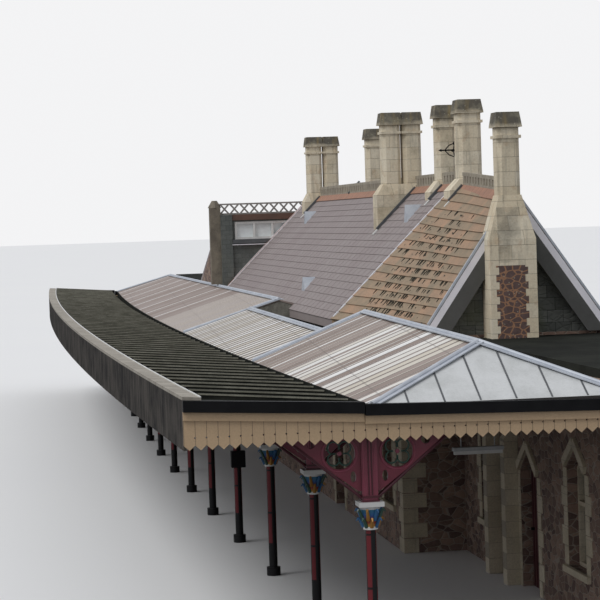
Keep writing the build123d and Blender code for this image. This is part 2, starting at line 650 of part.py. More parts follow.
# White verge boards at the near gable
def verge_boards():
    """Write the two sloping boards under the brown roof's near edge."""
    board_drop = VERGE_BOARD_DEPTH / math.cos(math.radians(BROWN_PITCH))
    with BuildPart() as boards:
        for side in (-1, 1):
            corners = slope_section(side, BROWN_RIDGE_X, BROWN_RIDGE_HEIGHT - BROWN_DROP, BROWN_SLOPE, board_drop,
                                    BROWN_EAVES)
            extrude(section_face(corners, VERGE), amount=-VERGE_BOARD_THICKNESS)
        split(bisect_by=Plane.XY.offset(LEAD_TOP), keep=Keep.TOP)
        add(NEAR_CHIMNEY, mode=Mode.SUBTRACT)
    save(boards.part, "verge_boards")
    return boards.part


VERGE_BOARDS = verge_boards()


# Pierced ridge tiles
def crest_run(start, end):
    """Add one straight run of pierced crest between two places along the ridge."""
    first, last = (Vector(ridge_at(y)[0], y, ridge_at(y)[1]) for y in (start, end))
    along = last - first
    count = int(along.length // CREST_PITCH)
    with BuildSketch(Plane(origin=(first + last) / 2, x_dir=along, z_dir=(along.Y, -along.X, 0))) as run:
        with Locations((0, (CREST_HEIGHT - CREST_THICKNESS) / 2)):
            Rectangle(along.length, CREST_HEIGHT + CREST_THICKNESS)
        with GridLocations(CREST_PITCH, 1, count, 1):
            with Locations((0, CREST_HEIGHT * 0.5)):
                Rectangle(CREST_PITCH * 0.45, CREST_HEIGHT * 0.5, mode=Mode.SUBTRACT)
    extrude(run.sketch, amount=CREST_THICKNESS / 2, both=True)


with BuildPart() as ridge_tiles:
    for start, end in ((-HALL_HALF, TWIST_START), (TWIST_START, ROOF_STEP), (ROOF_STEP, HALL_HALF)):
        crest_run(start, end)
    for cutter in (*ROOF_CHIMNEYS, GREY_ROOF, BROWN_ROOF):
        add(cutter, mode=Mode.SUBTRACT)
save(ridge_tiles.part, "ridge_tiles")


# Finial on the crest, where the brown roof meets the grey
with BuildPart() as finial:
    with Locations((0, ROOF_STEP, GREY_RIDGE_HEIGHT + CREST_HEIGHT + FINIAL_HEIGHT / 2)):
        Cylinder(FINIAL_RADIUS, FINIAL_HEIGHT)
    with Locations((0, ROOF_STEP, GREY_RIDGE_HEIGHT + CREST_HEIGHT + FINIAL_HEIGHT * 0.7)):
        Sphere(FINIAL_BALL_RADIUS)
save(finial.part, "ridge_finial")


# Gabled vents on the grey roof's track side: face X, place along Y, height of the gable, scaled width
def roof_vents():
    """Write the three vents, each with a level ridge that runs back into the roof."""
    with BuildPart() as vents:
        for face_x, y, height, width in ((-840 * SCALE, 9400 * SCALE, 400 * SCALE, VENT_WIDTH),
                                         (-850 * SCALE, -6200 * SCALE, 440 * SCALE, VENT_WIDTH),
                                         (-2520 * SCALE, -920 * SCALE, 370 * SCALE, VENT_WIDTH * 1.5)):
            foot = GREY_RIDGE_HEIGHT + face_x * GREY_SLOPE
            with BuildSketch(Plane(origin=(face_x, y, foot), x_dir=(0, 1, 0), z_dir=(1, 0, 0))) as front:
                Polygon((-width / 2, -ROOF_THICKNESS / 2), (width / 2, -ROOF_THICKNESS / 2), (width / 2, 0),
                        (0, height), (-width / 2, 0), align=None)
            extrude(front.sketch, amount=height / GREY_SLOPE)
        split(bisect_by=inside_roof(-1, ROOF_STEP), keep=Keep.TOP)
        add(GREY_ROOF, mode=Mode.SUBTRACT)
    save(vents.part, "roof_vents")


roof_vents()


# Stone pier at the clerestory's corner, above the grey roof, and two buttresses on the near wing
with BuildPart() as corner_pier:
    with Locations((CLERESTORY_FRONT + PIER_WIDTH / 2, CLERESTORY_START - PIER_DEPTH / 2,
                    (HALL_WALL_HEIGHT + CLERESTORY_HEIGHT) / 2)):
        Box(PIER_WIDTH, PIER_DEPTH, CLERESTORY_HEIGHT - HALL_WALL_HEIGHT)
    split(bisect_by=inside_roof(-1, CLERESTORY_START), keep=Keep.TOP)
    add(GREY_ROOF, mode=Mode.SUBTRACT)
with BuildPart() as wall_buttresses:
    for y in (-16650 * SCALE, -18050 * SCALE):
        with BuildSketch(Plane(origin=(0, y, 0), x_dir=(1, 0, 0), z_dir=(0, -1, 0))) as profile:
            face = WING_FRONT - BUTTRESS_DEPTH
            Polygon((WING_FRONT, 0), (WING_FRONT, BUTTRESS_HEIGHT), (face, BUTTRESS_HEIGHT - BUTTRESS_WEATHERING),
                    (face, 0), align=None)
        extrude(profile.sketch, amount=BUTTRESS_WIDTH / 2, both=True)
    add(corner_pier.part)
save(wall_buttresses.part, "wall_buttresses")


# Window frames, glass and doors
def window_places():
    """Each long wall with its openings: wall face X, door places, window places."""
    return (
        (FRONT, hall_doors, hall_windows),
        (BACK - WALL, hall_doors, hall_windows),
        (WING_FRONT, near_wing_doors, near_wing_windows),
        (BACK - WALL, near_wing_doors, near_wing_windows),
        (FRONT, far_wing_doors, far_wing_windows),
        (BACK - WALL, far_wing_doors, far_wing_windows),
        (CLERESTORY_FRONT, clerestory_doors, []),
        (BACK - WALL, clerestory_doors, []),
    )


def cross_window_places():
    """Each window in a cross wall: wall face Y, the window's X, and its hand."""
    return ((NEAR_WING_END, (WING_FRONT + BACK) / 2, 1), (FAR_WING_END - WALL, 0, -1))


def pane_corners(side, half, spring, bar, upper):
    """The corners of one pane in a window of two lights, below or above its transom."""
    transom = spring * TRANSOM_SHARE
    if upper:
        return [(side * bar / 2, transom + bar), (side * (half - bar), transom + bar),
                (side * (half - bar), spring - bar * 0.3), (side * bar / 2, WINDOW_HEIGHT - bar * 1.4)]
    return [(side * bar / 2, bar), (side * (half - bar), bar), (side * (half - bar), transom),
            (side * bar / 2, transom)]


def clerestory_plane(depth):
    """The plane of the clerestory's lights, at a depth behind the wall's near face."""
    return Plane(origin=(LIGHT_CENTRE_X, CLERESTORY_START + depth, CLERESTORY_LIGHT_SILL
                         + CLERESTORY_LIGHT_HEIGHT / 2), x_dir=(1, 0, 0), z_dir=(0, -1, 0))


def window_frames():
    """Write every stone window frame: a rim, a mullion and a transom, in its opening."""
    pane = (CLERESTORY_LIGHT_LENGTH - (LIGHTS + 1) * FRAME_BAR) / LIGHTS
    half = WINDOW_WIDTH / 2
    spring = WINDOW_HEIGHT - WINDOW_WIDTH / 3
    bar = FRAME_BAR
    with BuildPart() as frames:
        for face_x, _, windows in window_places():
            for centre in windows:
                with BuildSketch(Plane(origin=(face_x + (WALL - FRAME_DEPTH) / 2, centre, SILL_HEIGHT),
                                       x_dir=(0, 1, 0), z_dir=(1, 0, 0))):
                    Polygon((-half, 0), (half, 0), (half, spring), (0, WINDOW_HEIGHT), (-half, spring), align=None)
                    for side in (-1, 1):
                        Polygon(*pane_corners(side, half, spring, bar, False), align=None, mode=Mode.SUBTRACT)
                        Polygon(*pane_corners(side, half, spring, bar, True), align=None, mode=Mode.SUBTRACT)
                extrude(amount=FRAME_DEPTH)
        with BuildSketch(clerestory_plane(FRAME_DEPTH)):
            Rectangle(CLERESTORY_LIGHT_LENGTH, CLERESTORY_LIGHT_HEIGHT)
            with GridLocations(pane + bar, 1, LIGHTS, 1):
                Rectangle(pane, CLERESTORY_LIGHT_HEIGHT - 2 * bar, mode=Mode.SUBTRACT)
        extrude(amount=FRAME_DEPTH)
        for face_y, centre, spring_in in cross_window_places():
            with BuildSketch(Plane(origin=(centre, face_y + (WALL - FRAME_DEPTH) / 2, SILL_HEIGHT),
                                   x_dir=(1, 0, 0), z_dir=(0, -1, 0))):
                Polygon((-half, 0), (half, 0), (half, spring), (0, WINDOW_HEIGHT), (-half, spring), align=None)
                for side in (-1, 1):
                    Polygon(*pane_corners(side, half, spring, bar, False), align=None, mode=Mode.SUBTRACT)
                    Polygon(*pane_corners(side, half, spring, bar, True), align=None, mode=Mode.SUBTRACT)
            extrude(amount=-FRAME_DEPTH)
    save(frames.part, "window_frames")
    with BuildPart() as glass:
        for face_x, _, windows in window_places():
            for centre in windows:
                inner_face = face_x + (WALL + FRAME_DEPTH) / 2
                with BuildSketch(Plane(origin=(inner_face, centre, SILL_HEIGHT), x_dir=(0, 1, 0), z_dir=(1, 0, 0))):
                    with BuildLine():
                        Polyline((-half, 0), (half, 0), (half, spring), (0, WINDOW_HEIGHT), (-half, spring), close=True)
                    make_face()
                extrude(amount=GLASS_THICKNESS)
        with BuildSketch(clerestory_plane(FRAME_DEPTH + GLASS_THICKNESS)):
            Rectangle(CLERESTORY_LIGHT_LENGTH, CLERESTORY_LIGHT_HEIGHT)
        extrude(amount=GLASS_THICKNESS)
        for face_y, centre, hand in cross_window_places():
            with BuildSketch(Plane(origin=(centre, face_y + WALL / 2 + hand * FRAME_DEPTH / 2, SILL_HEIGHT),
                                   x_dir=(1, 0, 0), z_dir=(0, -1, 0))):
                Polygon((-half, 0), (half, 0), (half, spring), (0, WINDOW_HEIGHT), (-half, spring), align=None)
            extrude(amount=-hand * GLASS_THICKNESS)
    save(glass.part, "window_glass")


def door_leaves():
    """Write every closed door, one solid in each doorway."""
    half = DOOR_WIDTH / 2
    spring = DOOR_HEIGHT - DOOR_WIDTH / 3
    with BuildPart() as doors:
        for face_x, places, _ in window_places():
            for centre in places:
                with BuildSketch(Plane(origin=(face_x + (WALL - DOOR_LEAF_THICKNESS) / 2, centre, 0),
                                       x_dir=(0, 1, 0), z_dir=(1, 0, 0))):
                    with BuildLine():
                        Polyline((-half, 0), (half, 0), (half, spring), (0, DOOR_HEIGHT), (-half, spring), close=True)
                    make_face()
                extrude(amount=DOOR_LEAF_THICKNESS)
    save(doors.part, "doors")


window_frames()
door_leaves()


# Canopy: track side deck, its rolls, fascia and capping
OUTER_EDGE = COLUMN_ROW - TRACK_OVERHANG
VALLEY = COLUMN_ROW + VALLEY_OFFSET
GUTTER_LEFT = VALLEY - GUTTER_WIDTH / 2
GUTTER_RIGHT = VALLEY + GUTTER_WIDTH / 2
DECK_FALL = (DECK_EDGE_HEIGHT - DECK_VALLEY_HEIGHT) / (GUTTER_LEFT - OUTER_EDGE)
DECK_START = OUTER_EDGE + FASCIA_THICKNESS
GUTTER_BOTTOM = DECK_VALLEY_HEIGHT - GUTTER_DEPTH
GIRDER_LEFT = COLUMN_ROW - GIRDER_WIDTH / 2
GIRDER_RIGHT = COLUMN_ROW + GIRDER_WIDTH / 2


def deck_height(x):
    """The height of the track side roof's top at x, where the curve is nearest to the tracks."""
    return DECK_EDGE_HEIGHT - (x - OUTER_EDGE) * DECK_FALL


def sloping_corners(left, right, over, under):
    """A section that follows the track side roof, from under to over its top."""
    return [(left, deck_height(left) + under), (right, deck_height(right) + under),
            (right, deck_height(right) + over), (left, deck_height(left) + over)]


curved_bar("track_side_roof", sloping_corners(DECK_START, GUTTER_LEFT, 0, -DECK_THICKNESS))
curved_bar("track_side_fascia", [(OUTER_EDGE, FASCIA_BOTTOM), (DECK_START, FASCIA_BOTTOM),
                                 (DECK_START, deck_height(DECK_START)), (OUTER_EDGE, DECK_EDGE_HEIGHT)])
curved_bar("edge_capping", sloping_corners(OUTER_EDGE, OUTER_EDGE + CAPPING_WIDTH, CAPPING_THICKNESS, 0))
curved_bar("column_girder", [(GIRDER_LEFT, GIRDER_BOTTOM), (GIRDER_RIGHT, GIRDER_BOTTOM),
                             (GIRDER_RIGHT, GUTTER_BOTTOM), (GIRDER_LEFT, GUTTER_BOTTOM)])
curved_bar("valley_gutter", [
    (GUTTER_LEFT, GUTTER_BOTTOM), (GUTTER_RIGHT, GUTTER_BOTTOM), (GUTTER_RIGHT, DECK_VALLEY_HEIGHT),
    (GUTTER_RIGHT - GUTTER_WALL, DECK_VALLEY_HEIGHT), (GUTTER_RIGHT - GUTTER_WALL, GUTTER_BOTTOM + GUTTER_WALL),
    (GUTTER_LEFT + GUTTER_WALL, GUTTER_BOTTOM + GUTTER_WALL), (GUTTER_LEFT + GUTTER_WALL, DECK_VALLEY_HEIGHT),
    (GUTTER_LEFT, DECK_VALLEY_HEIGHT)])


def cross_bars(label, corners, places, width):
    """Write a row of straight bars across the canopy, all of one section between curved faces."""
    left = min(x for x, _ in corners)
    right = max(x for x, _ in corners) + curve_x(OUTER_EDGE, CANOPY_END) - OUTER_EDGE
    with BuildPart() as bars:
        with Locations(*[((left + right) / 2, y, DECK_VALLEY_HEIGHT) for y in places]):
            Box(right - left + WALL, width, HALL_WALL_HEIGHT)
        sweep_section(corners, mode=Mode.INTERSECT)
    save(bars.part, label)


# Rolls down the track side roof, and rafters below it at each column and halfway
roll_count = int((CANOPY_END - CANOPY_START) // DECK_ROLL_PITCH)
roll_places = [(CANOPY_START + CANOPY_END) / 2 + (n - (roll_count - 1) / 2) * DECK_ROLL_PITCH
               for n in range(roll_count)]
cross_bars("roof_rolls", sloping_corners(OUTER_EDGE + CAPPING_WIDTH, GUTTER_LEFT, DECK_ROLL_HEIGHT, 0), roll_places,
           DECK_ROLL_WIDTH)
rafter_places = [FIRST_COLUMN + n * BAY / 2 for n in range(2 * BAY_COUNT + 1)]
column_places = [FIRST_COLUMN + n * BAY for n in range(BAY_COUNT + 1)]
cross_bars("canopy_rafters", [
    (GIRDER_LEFT, GUTTER_BOTTOM), (GUTTER_LEFT, GUTTER_BOTTOM),
    (GUTTER_LEFT, deck_height(GUTTER_LEFT) - DECK_THICKNESS),
    (DECK_START, deck_height(DECK_START) - DECK_THICKNESS),
    (DECK_START, deck_height(DECK_START) - DECK_THICKNESS - RAFTER_TIP_DEPTH),
    (GIRDER_LEFT, deck_height(GIRDER_LEFT) - DECK_THICKNESS - RAFTER_DEPTH)], rafter_places, RAFTER_WIDTH)


def wall_face(y):
    """The X of the wall that the canopy's inner side meets at y."""
    if y < -HALL_HALF:
        return WING_FRONT
    if CLERESTORY_START <= y <= CLERESTORY_END:
        return CLERESTORY_FRONT
    return FRONT


# Tie beams from the girder to the wall, under the valley gutter
with BuildPart() as tie_beams:
    for y in column_places:
        if NEAR_WING_END < y < FAR_WING_END:
            right = wall_face(y)
            with Locations(((COLUMN_ROW + right) / 2, y, (GIRDER_BOTTOM + GUTTER_BOTTOM) / 2)):
                Box(right - COLUMN_ROW, RAFTER_WIDTH, GUTTER_BOTTOM - GIRDER_BOTTOM)
    sweep_section([(GIRDER_RIGHT, GIRDER_BOTTOM), (BACK, GIRDER_BOTTOM), (BACK, GUTTER_BOTTOM),
                   (GIRDER_RIGHT, GUTTER_BOTTOM)], mode=Mode.INTERSECT)
save(tie_beams.part, "tie_beams")


# Inner canopy roofs
def height_on(plane, x, y):
    """The height of a sloping plane at a place in plan."""
    normal, origin = plane.z_dir, plane.origin
    return origin.Z - (normal.X * (x - origin.X) + normal.Y * (y - origin.Y)) / normal.Z


def slope_sheet(corners, plane, start, end):
    """One sloping sheet over a plan outline, under a plane, up to the valley gutter's curve."""
    with BuildPart() as sheet:
        with BuildSketch(Plane.XY.offset(WING_HEIGHT / 2)):
            Polygon(*corners, align=None)
            strip_outline(OUTER_EDGE, GUTTER_RIGHT, start - BAY, end + BAY, Mode.SUBTRACT)
        extrude(amount=HALL_WALL_HEIGHT)
        split(bisect_by=plane, keep=Keep.BOTTOM)
        split(bisect_by=lowered(plane, CANOPY_SHEET), keep=Keep.TOP)
        with Locations((CLERESTORY_FRONT + HALL_DEPTH, (CLERESTORY_START + CLERESTORY_END) / 2, WING_HEIGHT)):
            Box(2 * HALL_DEPTH + 2 * SHEET_GAP, CLERESTORY_LENGTH + 2 * SHEET_GAP, 2 * WING_HEIGHT, mode=Mode.SUBTRACT)
        for cutter in (GREY_ROOF, BROWN_ROOF, VERGE_BOARDS, corner_pier.part):
            add(cutter, mode=Mode.SUBTRACT)
    return sheet.part


def inner_canopy(label, start, end, wall, rise, ridge, hip=0):
    """Write one length of the inner canopy: two slopes, and a hip at its near (-1) or far (1) end."""
    low = DECK_VALLEY_HEIGHT
    high = low + rise
    left_start, left_end = curve_x(GUTTER_RIGHT, start), curve_x(GUTTER_RIGHT, end)
    peak_start = start + (HIP_RUN if hip < 0 else 0)
    peak_end = end - (HIP_RUN if hip > 0 else 0)
    front = plane_through((left_start, start, low), (left_end, end, low), (ridge[0], peak_start, high))
    fall = rise / (ridge[0] - left_start)
    end_height = height_on(front, ridge[1], peak_end)
    back = plane_through((ridge[0], peak_start, high), (ridge[1], peak_end, end_height),
                         (wall, peak_start, high - (wall - ridge[0]) * fall))
    gap = SHEET_GAP
    reach = WALL * 2
    front_corners = [(left_start - reach, start), (ridge[0] - gap, peak_start), (ridge[1] - gap, peak_end),
                     (left_end - reach, end)]
    back_corners = [(ridge[0] + gap, peak_start), (wall, start), (wall, end), (ridge[1] + gap, peak_end)]
    if hip < 0:
        front_corners[0:1] = [(left_start - reach, start), (left_start, start)]
    elif hip > 0:
        front_corners[3:4] = [(left_end, end), (left_end - reach, end)]
    sheets = [slope_sheet(front_corners, front, start, end), slope_sheet(back_corners, back, start, end)]
    if hip:
        edge = start if hip < 0 else end
        peak = peak_start if hip < 0 else peak_end
        ridge_x = ridge[0] if hip < 0 else ridge[1]
        left = left_start if hip < 0 else left_end
        top = high if hip < 0 else end_height
        hip_plane = plane_through((left, edge, low), (wall, edge, low), (ridge_x, peak, top))
        sheets.append(slope_sheet([(left + 3 * gap, edge), (wall - 3 * gap, edge), (ridge_x, peak + hip * 3 * gap)],
                                  hip_plane, start, end))
    with BuildPart() as roof:
        for sheet in sheets:
            add(sheet)
    save(roof.part, label)


inner_canopy("near_canopy_roof", CANOPY_START, -HALL_HALF, WING_FRONT, NEAR_CANOPY_RISE,
             (NEAR_RIDGE_X, NEAR_RIDGE_X), hip=-1)
inner_canopy("mid_canopy_roof", -HALL_HALF, MID_CANOPY_END, FRONT, MID_CANOPY_RISE, (MID_RIDGE_X, MID_RIDGE_X))
inner_canopy("far_canopy_roof", MID_CANOPY_END, CANOPY_END, FRONT, FAR_CANOPY_RISE, (FAR_RIDGE_X, FAR_RIDGE_END_X),
             hip=1)


# Columns
with BuildPart() as columns:
    for y in column_places:
        with BuildSketch():
            with Locations((curve_x(COLUMN_ROW, y), y)):
                Circle(COLUMN_BASE_RADIUS)
        extrude(amount=COLUMN_BASE_HEIGHT)
        with BuildSketch():
            with Locations((curve_x(COLUMN_ROW, y), y)):
                Circle(COLUMN_RADIUS)
        extrude(amount=SHAFT_HEIGHT)
save(columns.part, "columns")

# Capitals: a flared bell with a square abacus
ABACUS_BOTTOM = SHAFT_HEIGHT + CAPITAL_HEIGHT - ABACUS_THICKNESS
with BuildPart() as capitals:
    for y in column_places:
        centre = (curve_x(COLUMN_ROW, y), y)
        with BuildSketch(Plane.XY.offset(SHAFT_HEIGHT)):
            with Locations(centre):
                Circle(COLUMN_RADIUS * 1.25)
        with BuildSketch(Plane.XY.offset(ABACUS_BOTTOM)):
            with Locations(centre):
                Circle(ABACUS_SIDE * 0.42)
        loft()
        with BuildSketch(Plane.XY.offset(ABACUS_BOTTOM)):
            with Locations(centre):
                Rectangle(ABACUS_SIDE, ABACUS_SIDE)
        extrude(amount=ABACUS_THICKNESS)
save(capitals.part, "capitals")

# Posts above the capitals, up to the girder
POST_BOTTOM = SHAFT_HEIGHT + CAPITAL_HEIGHT
with BuildPart() as posts:
    for y in column_places:
        with BuildSketch(Plane.XY.offset(POST_BOTTOM)):
            with Locations((curve_x(COLUMN_ROW, y), y)):
                Rectangle(POST_SIDE, POST_SIDE)
        extrude(amount=GIRDER_BOTTOM - POST_BOTTOM)
save(posts.part, "bracket_posts")


# Spandrel brackets, the feature that takes the most skill: a flanged triangle round open rings
def bracket_sketch(side):
    """Draw one spandrel, with its rings and open corners, reaching out to side."""
    root = side * POST_SIDE / 2
    top = GIRDER_BOTTOM
    low = top - BRACKET_RISE
    tip = side * (POST_SIDE / 2 + BRACKET_REACH)
    flange = BRACKET_FLANGE
    Polygon((root, low), (root, top), (tip, top), (tip, top - flange * 1.6), (root + side * flange, low),
            align=None)
    ring = (root + side * (flange + BRACKET_RING_RADIUS), top - flange - BRACKET_RING_RADIUS)
    small = (root + side * (flange * 2 + 2 * BRACKET_RING_RADIUS + SMALL_RING_RADIUS),
             top - flange - SMALL_RING_RADIUS)
    with Locations(ring):
        Circle(BRACKET_RING_RADIUS - BRACKET_RING_WALL, mode=Mode.SUBTRACT)
    with Locations(small):
        Circle(SMALL_RING_RADIUS - BRACKET_RING_WALL, mode=Mode.SUBTRACT)
    eye = (root + side * flange * 2.2, low + BRACKET_RISE * 0.24)
    with Locations(eye):
        Ellipse(flange * 0.7, flange * 1.4, mode=Mode.SUBTRACT)


with BuildPart() as brackets:
    for y in column_places:
        x = curve_x(COLUMN_ROW, y)
        with BuildSketch(Plane(origin=(x, y, 0), x_dir=(1, 0, 0), z_dir=(0, -1, 0))):
            for side in (-1, 1):
                bracket_sketch(side)
        extrude(amount=BRACKET_THICKNESS / 2, both=True)
save(brackets.part, "spandrel_brackets")


# End valances: boards with pointed feet and one hole at each joint, a head board and a gutter
def valance_top(x, left, right, y):
    """The height of an end valance's top at x: it falls to the valley, and steps down there."""
    valley = curve_x(VALLEY, y)
    if x <= valley:
        return VALANCE_TOP + (VALANCE_VALLEY_TOP - VALANCE_TOP) * (x - left) / (valley - left)
    inner = VALANCE_VALLEY_TOP - VALANCE_STEP
    return inner + (VALANCE_INNER_TOP - inner) * (x - valley) / (right - valley)


def end_band(y, low, high, outward, depth, setback):
    """Add two lengths of trim that follow an end valance's top, from low to high over it."""
    left = curve_x(OUTER_EDGE, y)
    right = WING_FRONT if y < 0 else FRONT
    valley = curve_x(VALLEY, y)
    for start, end in ((left, valley - SHEET_GAP), (valley + SHEET_GAP, right)):
        start_top, end_top = (valance_top(x, left, right, y) for x in (start, end))
        with BuildSketch(Plane(origin=(0, y - outward * setback, 0), x_dir=(1, 0, 0), z_dir=(0, -1, 0))) as band:
            Polygon((start, start_top + low), (end, end_top + low), (end, end_top + high),
                    (start, start_top + high), align=None)
        extrude(band.sketch, amount=outward * depth)


def valance_boards(y, outward):
    """Add the toothed boards that close one end of the canopy."""
    left = curve_x(OUTER_EDGE, y)
    right = WING_FRONT if y < 0 else FRONT
    valley = curve_x(VALLEY, y)
    boards = int((right - left) // VALANCE_BOARD)
    foot = FASCIA_BOTTOM + VALANCE_TOOTH
    corners = [(left, valance_top(left, left, right, y)), (left, foot)]
    for n in range(boards):
        corners += [(left + (n + 0.5) * VALANCE_BOARD, FASCIA_BOTTOM), (left + (n + 1) * VALANCE_BOARD, foot)]
    corners += [(right, foot), (right, valance_top(right, left, right, y)),
                (valley, valance_top(valley + 0.001, left, right, y)), (valley, valance_top(valley, left, right, y))]
    with BuildSketch(Plane(origin=(0, y, 0), x_dir=(1, 0, 0), z_dir=(0, -1, 0))) as face:
        Polygon(*corners, align=None)
        with Locations(*[(left + n * VALANCE_BOARD, foot + VALANCE_HOLE_RISE) for n in range(1, boards + 1)]):
            RegularPolygon(VALANCE_HOLE, 8, mode=Mode.SUBTRACT)
    extrude(face.sketch, amount=outward * VALANCE_THICKNESS)


with BuildPart() as end_valances:
    valance_boards(CANOPY_START, 1)
    valance_boards(CANOPY_END, -1)
save(end_valances.part, "end_valances")
with BuildPart() as head_boards:
    end_band(CANOPY_START, -HEAD_BOARD_HEIGHT, 0, 1, HEAD_BOARD_THICKNESS, VALANCE_THICKNESS)
    end_band(CANOPY_END, -HEAD_BOARD_HEIGHT, 0, -1, HEAD_BOARD_THICKNESS, VALANCE_THICKNESS)
save(head_boards.part, "head_boards")
with BuildPart() as end_gutters:
    end_band(CANOPY_START, 0, END_GUTTER_DEPTH, 1, END_GUTTER_WIDTH, 0)
    end_band(CANOPY_END, 0, END_GUTTER_DEPTH, -1, END_GUTTER_WIDTH, 0)
save(end_gutters.part, "end_gutters")
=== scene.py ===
"""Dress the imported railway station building: finishes, roof coverings, ironwork, camera and light.

Every length is in metres in the part's own frame, which is half the real size: X runs from the
canopy's outer edge to the back of the building, Y along the building and Z up. Object coordinates
are the same as the part's, because every piece keeps its object at the origin.
"""

import logging
import math
from dataclasses import dataclass, field
from enum import Enum
from typing import Callable, Iterable, Optional, Sequence, Union

import bmesh
import bpy
from mathutils import Matrix, Vector


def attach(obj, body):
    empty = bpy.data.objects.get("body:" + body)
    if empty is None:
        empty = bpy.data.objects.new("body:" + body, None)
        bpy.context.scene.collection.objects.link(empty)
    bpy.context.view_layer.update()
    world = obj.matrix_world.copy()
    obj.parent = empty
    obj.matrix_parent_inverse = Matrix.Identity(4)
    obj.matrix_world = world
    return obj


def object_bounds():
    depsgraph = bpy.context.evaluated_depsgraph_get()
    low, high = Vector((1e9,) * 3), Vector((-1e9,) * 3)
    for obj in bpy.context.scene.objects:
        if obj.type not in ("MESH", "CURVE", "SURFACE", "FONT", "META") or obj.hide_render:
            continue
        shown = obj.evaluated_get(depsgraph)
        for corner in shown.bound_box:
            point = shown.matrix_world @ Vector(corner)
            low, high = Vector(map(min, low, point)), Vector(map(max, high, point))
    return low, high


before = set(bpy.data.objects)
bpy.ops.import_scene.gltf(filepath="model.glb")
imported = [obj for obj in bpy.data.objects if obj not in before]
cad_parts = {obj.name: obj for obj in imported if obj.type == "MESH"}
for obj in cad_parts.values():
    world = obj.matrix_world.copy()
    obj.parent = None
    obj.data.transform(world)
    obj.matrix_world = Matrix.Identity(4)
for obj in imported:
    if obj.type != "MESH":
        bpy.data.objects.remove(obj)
CAD_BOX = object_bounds()
log = logging.getLogger("station")

SCALE = 0.5
UP = Vector((0, 0, 1))
Colour = tuple[float, float, float]


def mm(real: float) -> float:
    """Turn a real size in millimetres into metres at the model's scale."""
    return real * SCALE / 1000.0


def mm3(x: float, y: float, z: float) -> Vector:
    """Turn three real sizes in millimetres into metres at the model's scale."""
    return Vector((mm(x), mm(y), mm(z)))


# The canopy's curve and lines, as the part has them
CURVE_RADIUS = mm(720_000)
CURVE_MIDDLE = mm(630)
COLUMN_ROW = mm(-5634)
OUTER_EDGE = COLUMN_ROW - mm(2820)
VALLEY = COLUMN_ROW - mm(150)
CURVE_CENTRE = COLUMN_ROW + CURVE_RADIUS
FIRST_COLUMN = mm(-24650)
BAY = mm(4570)
BAY_COUNT = 13
CANOPY_START = FIRST_COLUMN - mm(500)
CANOPY_END = FIRST_COLUMN + BAY_COUNT * BAY + mm(500)
# Both ends of the near, middle and far canopy roofs' ridges
CANOPY_RIDGES = tuple((mm3(*first), mm3(*last)) for first, last in (
    ((-3230, -23650, 4750), (-3230, -13750, 4855)), ((-3950, -13750, 4468), (-3950, -1350, 4513)),
    ((-3200, -1350, 4718), (-2750, 33760, 4612))))

# The walls' outer faces and ends
FRONT = mm(-2560)
BACK = mm(2560)
WING_FRONT = mm(-1300)
NEAR_END = mm(-24150)
HALL_START = mm(-13750)
HALL_END = mm(13750)
FAR_START = mm(20850)
FAR_END = mm(33350)

# The hall's roof: each line across it runs from the ridge to the eaves
BROWN_START = mm(-14010)
BROWN_ROWS = 17
TWIST_START = mm(-13300)
GREY_START = mm(-8000)
STEEP_RIDGE = (mm(-175), mm(7140))
STEEP_REACH = (mm(1897.2), mm(2740))
GREY_RIDGE = (0.0, mm(7400))
GREY_REACH = (mm(2950), mm(2950))
# Each roof chimney's middle, and its foot's width and depth
CHIMNEY_FEET = tuple(tuple(mm(size) for size in foot) for foot in (
    (140, -8620, 1020, 650), (90, -6410, 880, 580), (-340, -3280, 1340, 580), (760, 6340, 880, 580),
    (85, 11540, 1250, 580)))


def curve_x(offset: float, y: float) -> float:
    """Find where a canopy line lies at one place along the building.

    Args:
        offset: the line's X at the middle of the curve.
        y: the place along the building.

    Returns:
        The line's X there.
    """
    radius = CURVE_CENTRE - offset
    return CURVE_CENTRE - math.sqrt(radius ** 2 - (y - CURVE_MIDDLE) ** 2)


def columns() -> list[Vector]:
    """List the middle of each column's foot along the curved row."""
    places = (FIRST_COLUMN + n * BAY for n in range(BAY_COUNT + 1))
    return [Vector((curve_x(COLUMN_ROW, y), y, 0)) for y in places]


def roof_line(y: float, side: int) -> tuple[Vector, Vector]:
    """Find the straight line that a roof slope makes across the hall.

    Args:
        y: the place along the building.
        side: -1 for the slope over the canopy, 1 for the one behind.

    Returns:
        The line's top, at the ridge, and its foot, at the eaves.
    """
    share = min(max((y - TWIST_START) / (GREY_START - TWIST_START), 0.0), 1.0)
    ridge_x, ridge_z = (a + (b - a) * share for a, b in zip(STEEP_RIDGE, GREY_RIDGE))
    out, fall = (a + (b - a) * share for a, b in zip(STEEP_REACH, GREY_REACH))
    return Vector((ridge_x, y, ridge_z)), Vector((ridge_x + side * out, y, ridge_z - fall))


def slope_up(y: float, side: int) -> Vector:
    """Find the direction that points straight out of a roof slope."""
    top, foot = roof_line(y, side)
    across = foot - top
    return Vector((-across.z * side, 0, across.x * side)).normalized()


class Facing(Enum):
    """Which way a patterned surface faces, and so which axes its pattern follows."""

    SIDES = "sides"
    ENDS = "ends"
    UP = "up"


def operator(operation: str, swapped: bool = False) -> Callable[["Socket", "Value"], "Socket"]:
    """Make a Socket method that combines the socket with a value in one Math node.

    Args:
        operation: the Math node's operation.
        swapped: whether the value comes before the socket.

    Returns:
        The method.
    """
    def method(self: "Socket", other: "Value") -> "Socket":
        first, second = (other, self) if swapped else (self, other)
        return self.graph.node("ShaderNodeMath", {"operation": operation}, {0: first, 1: second})
    return method


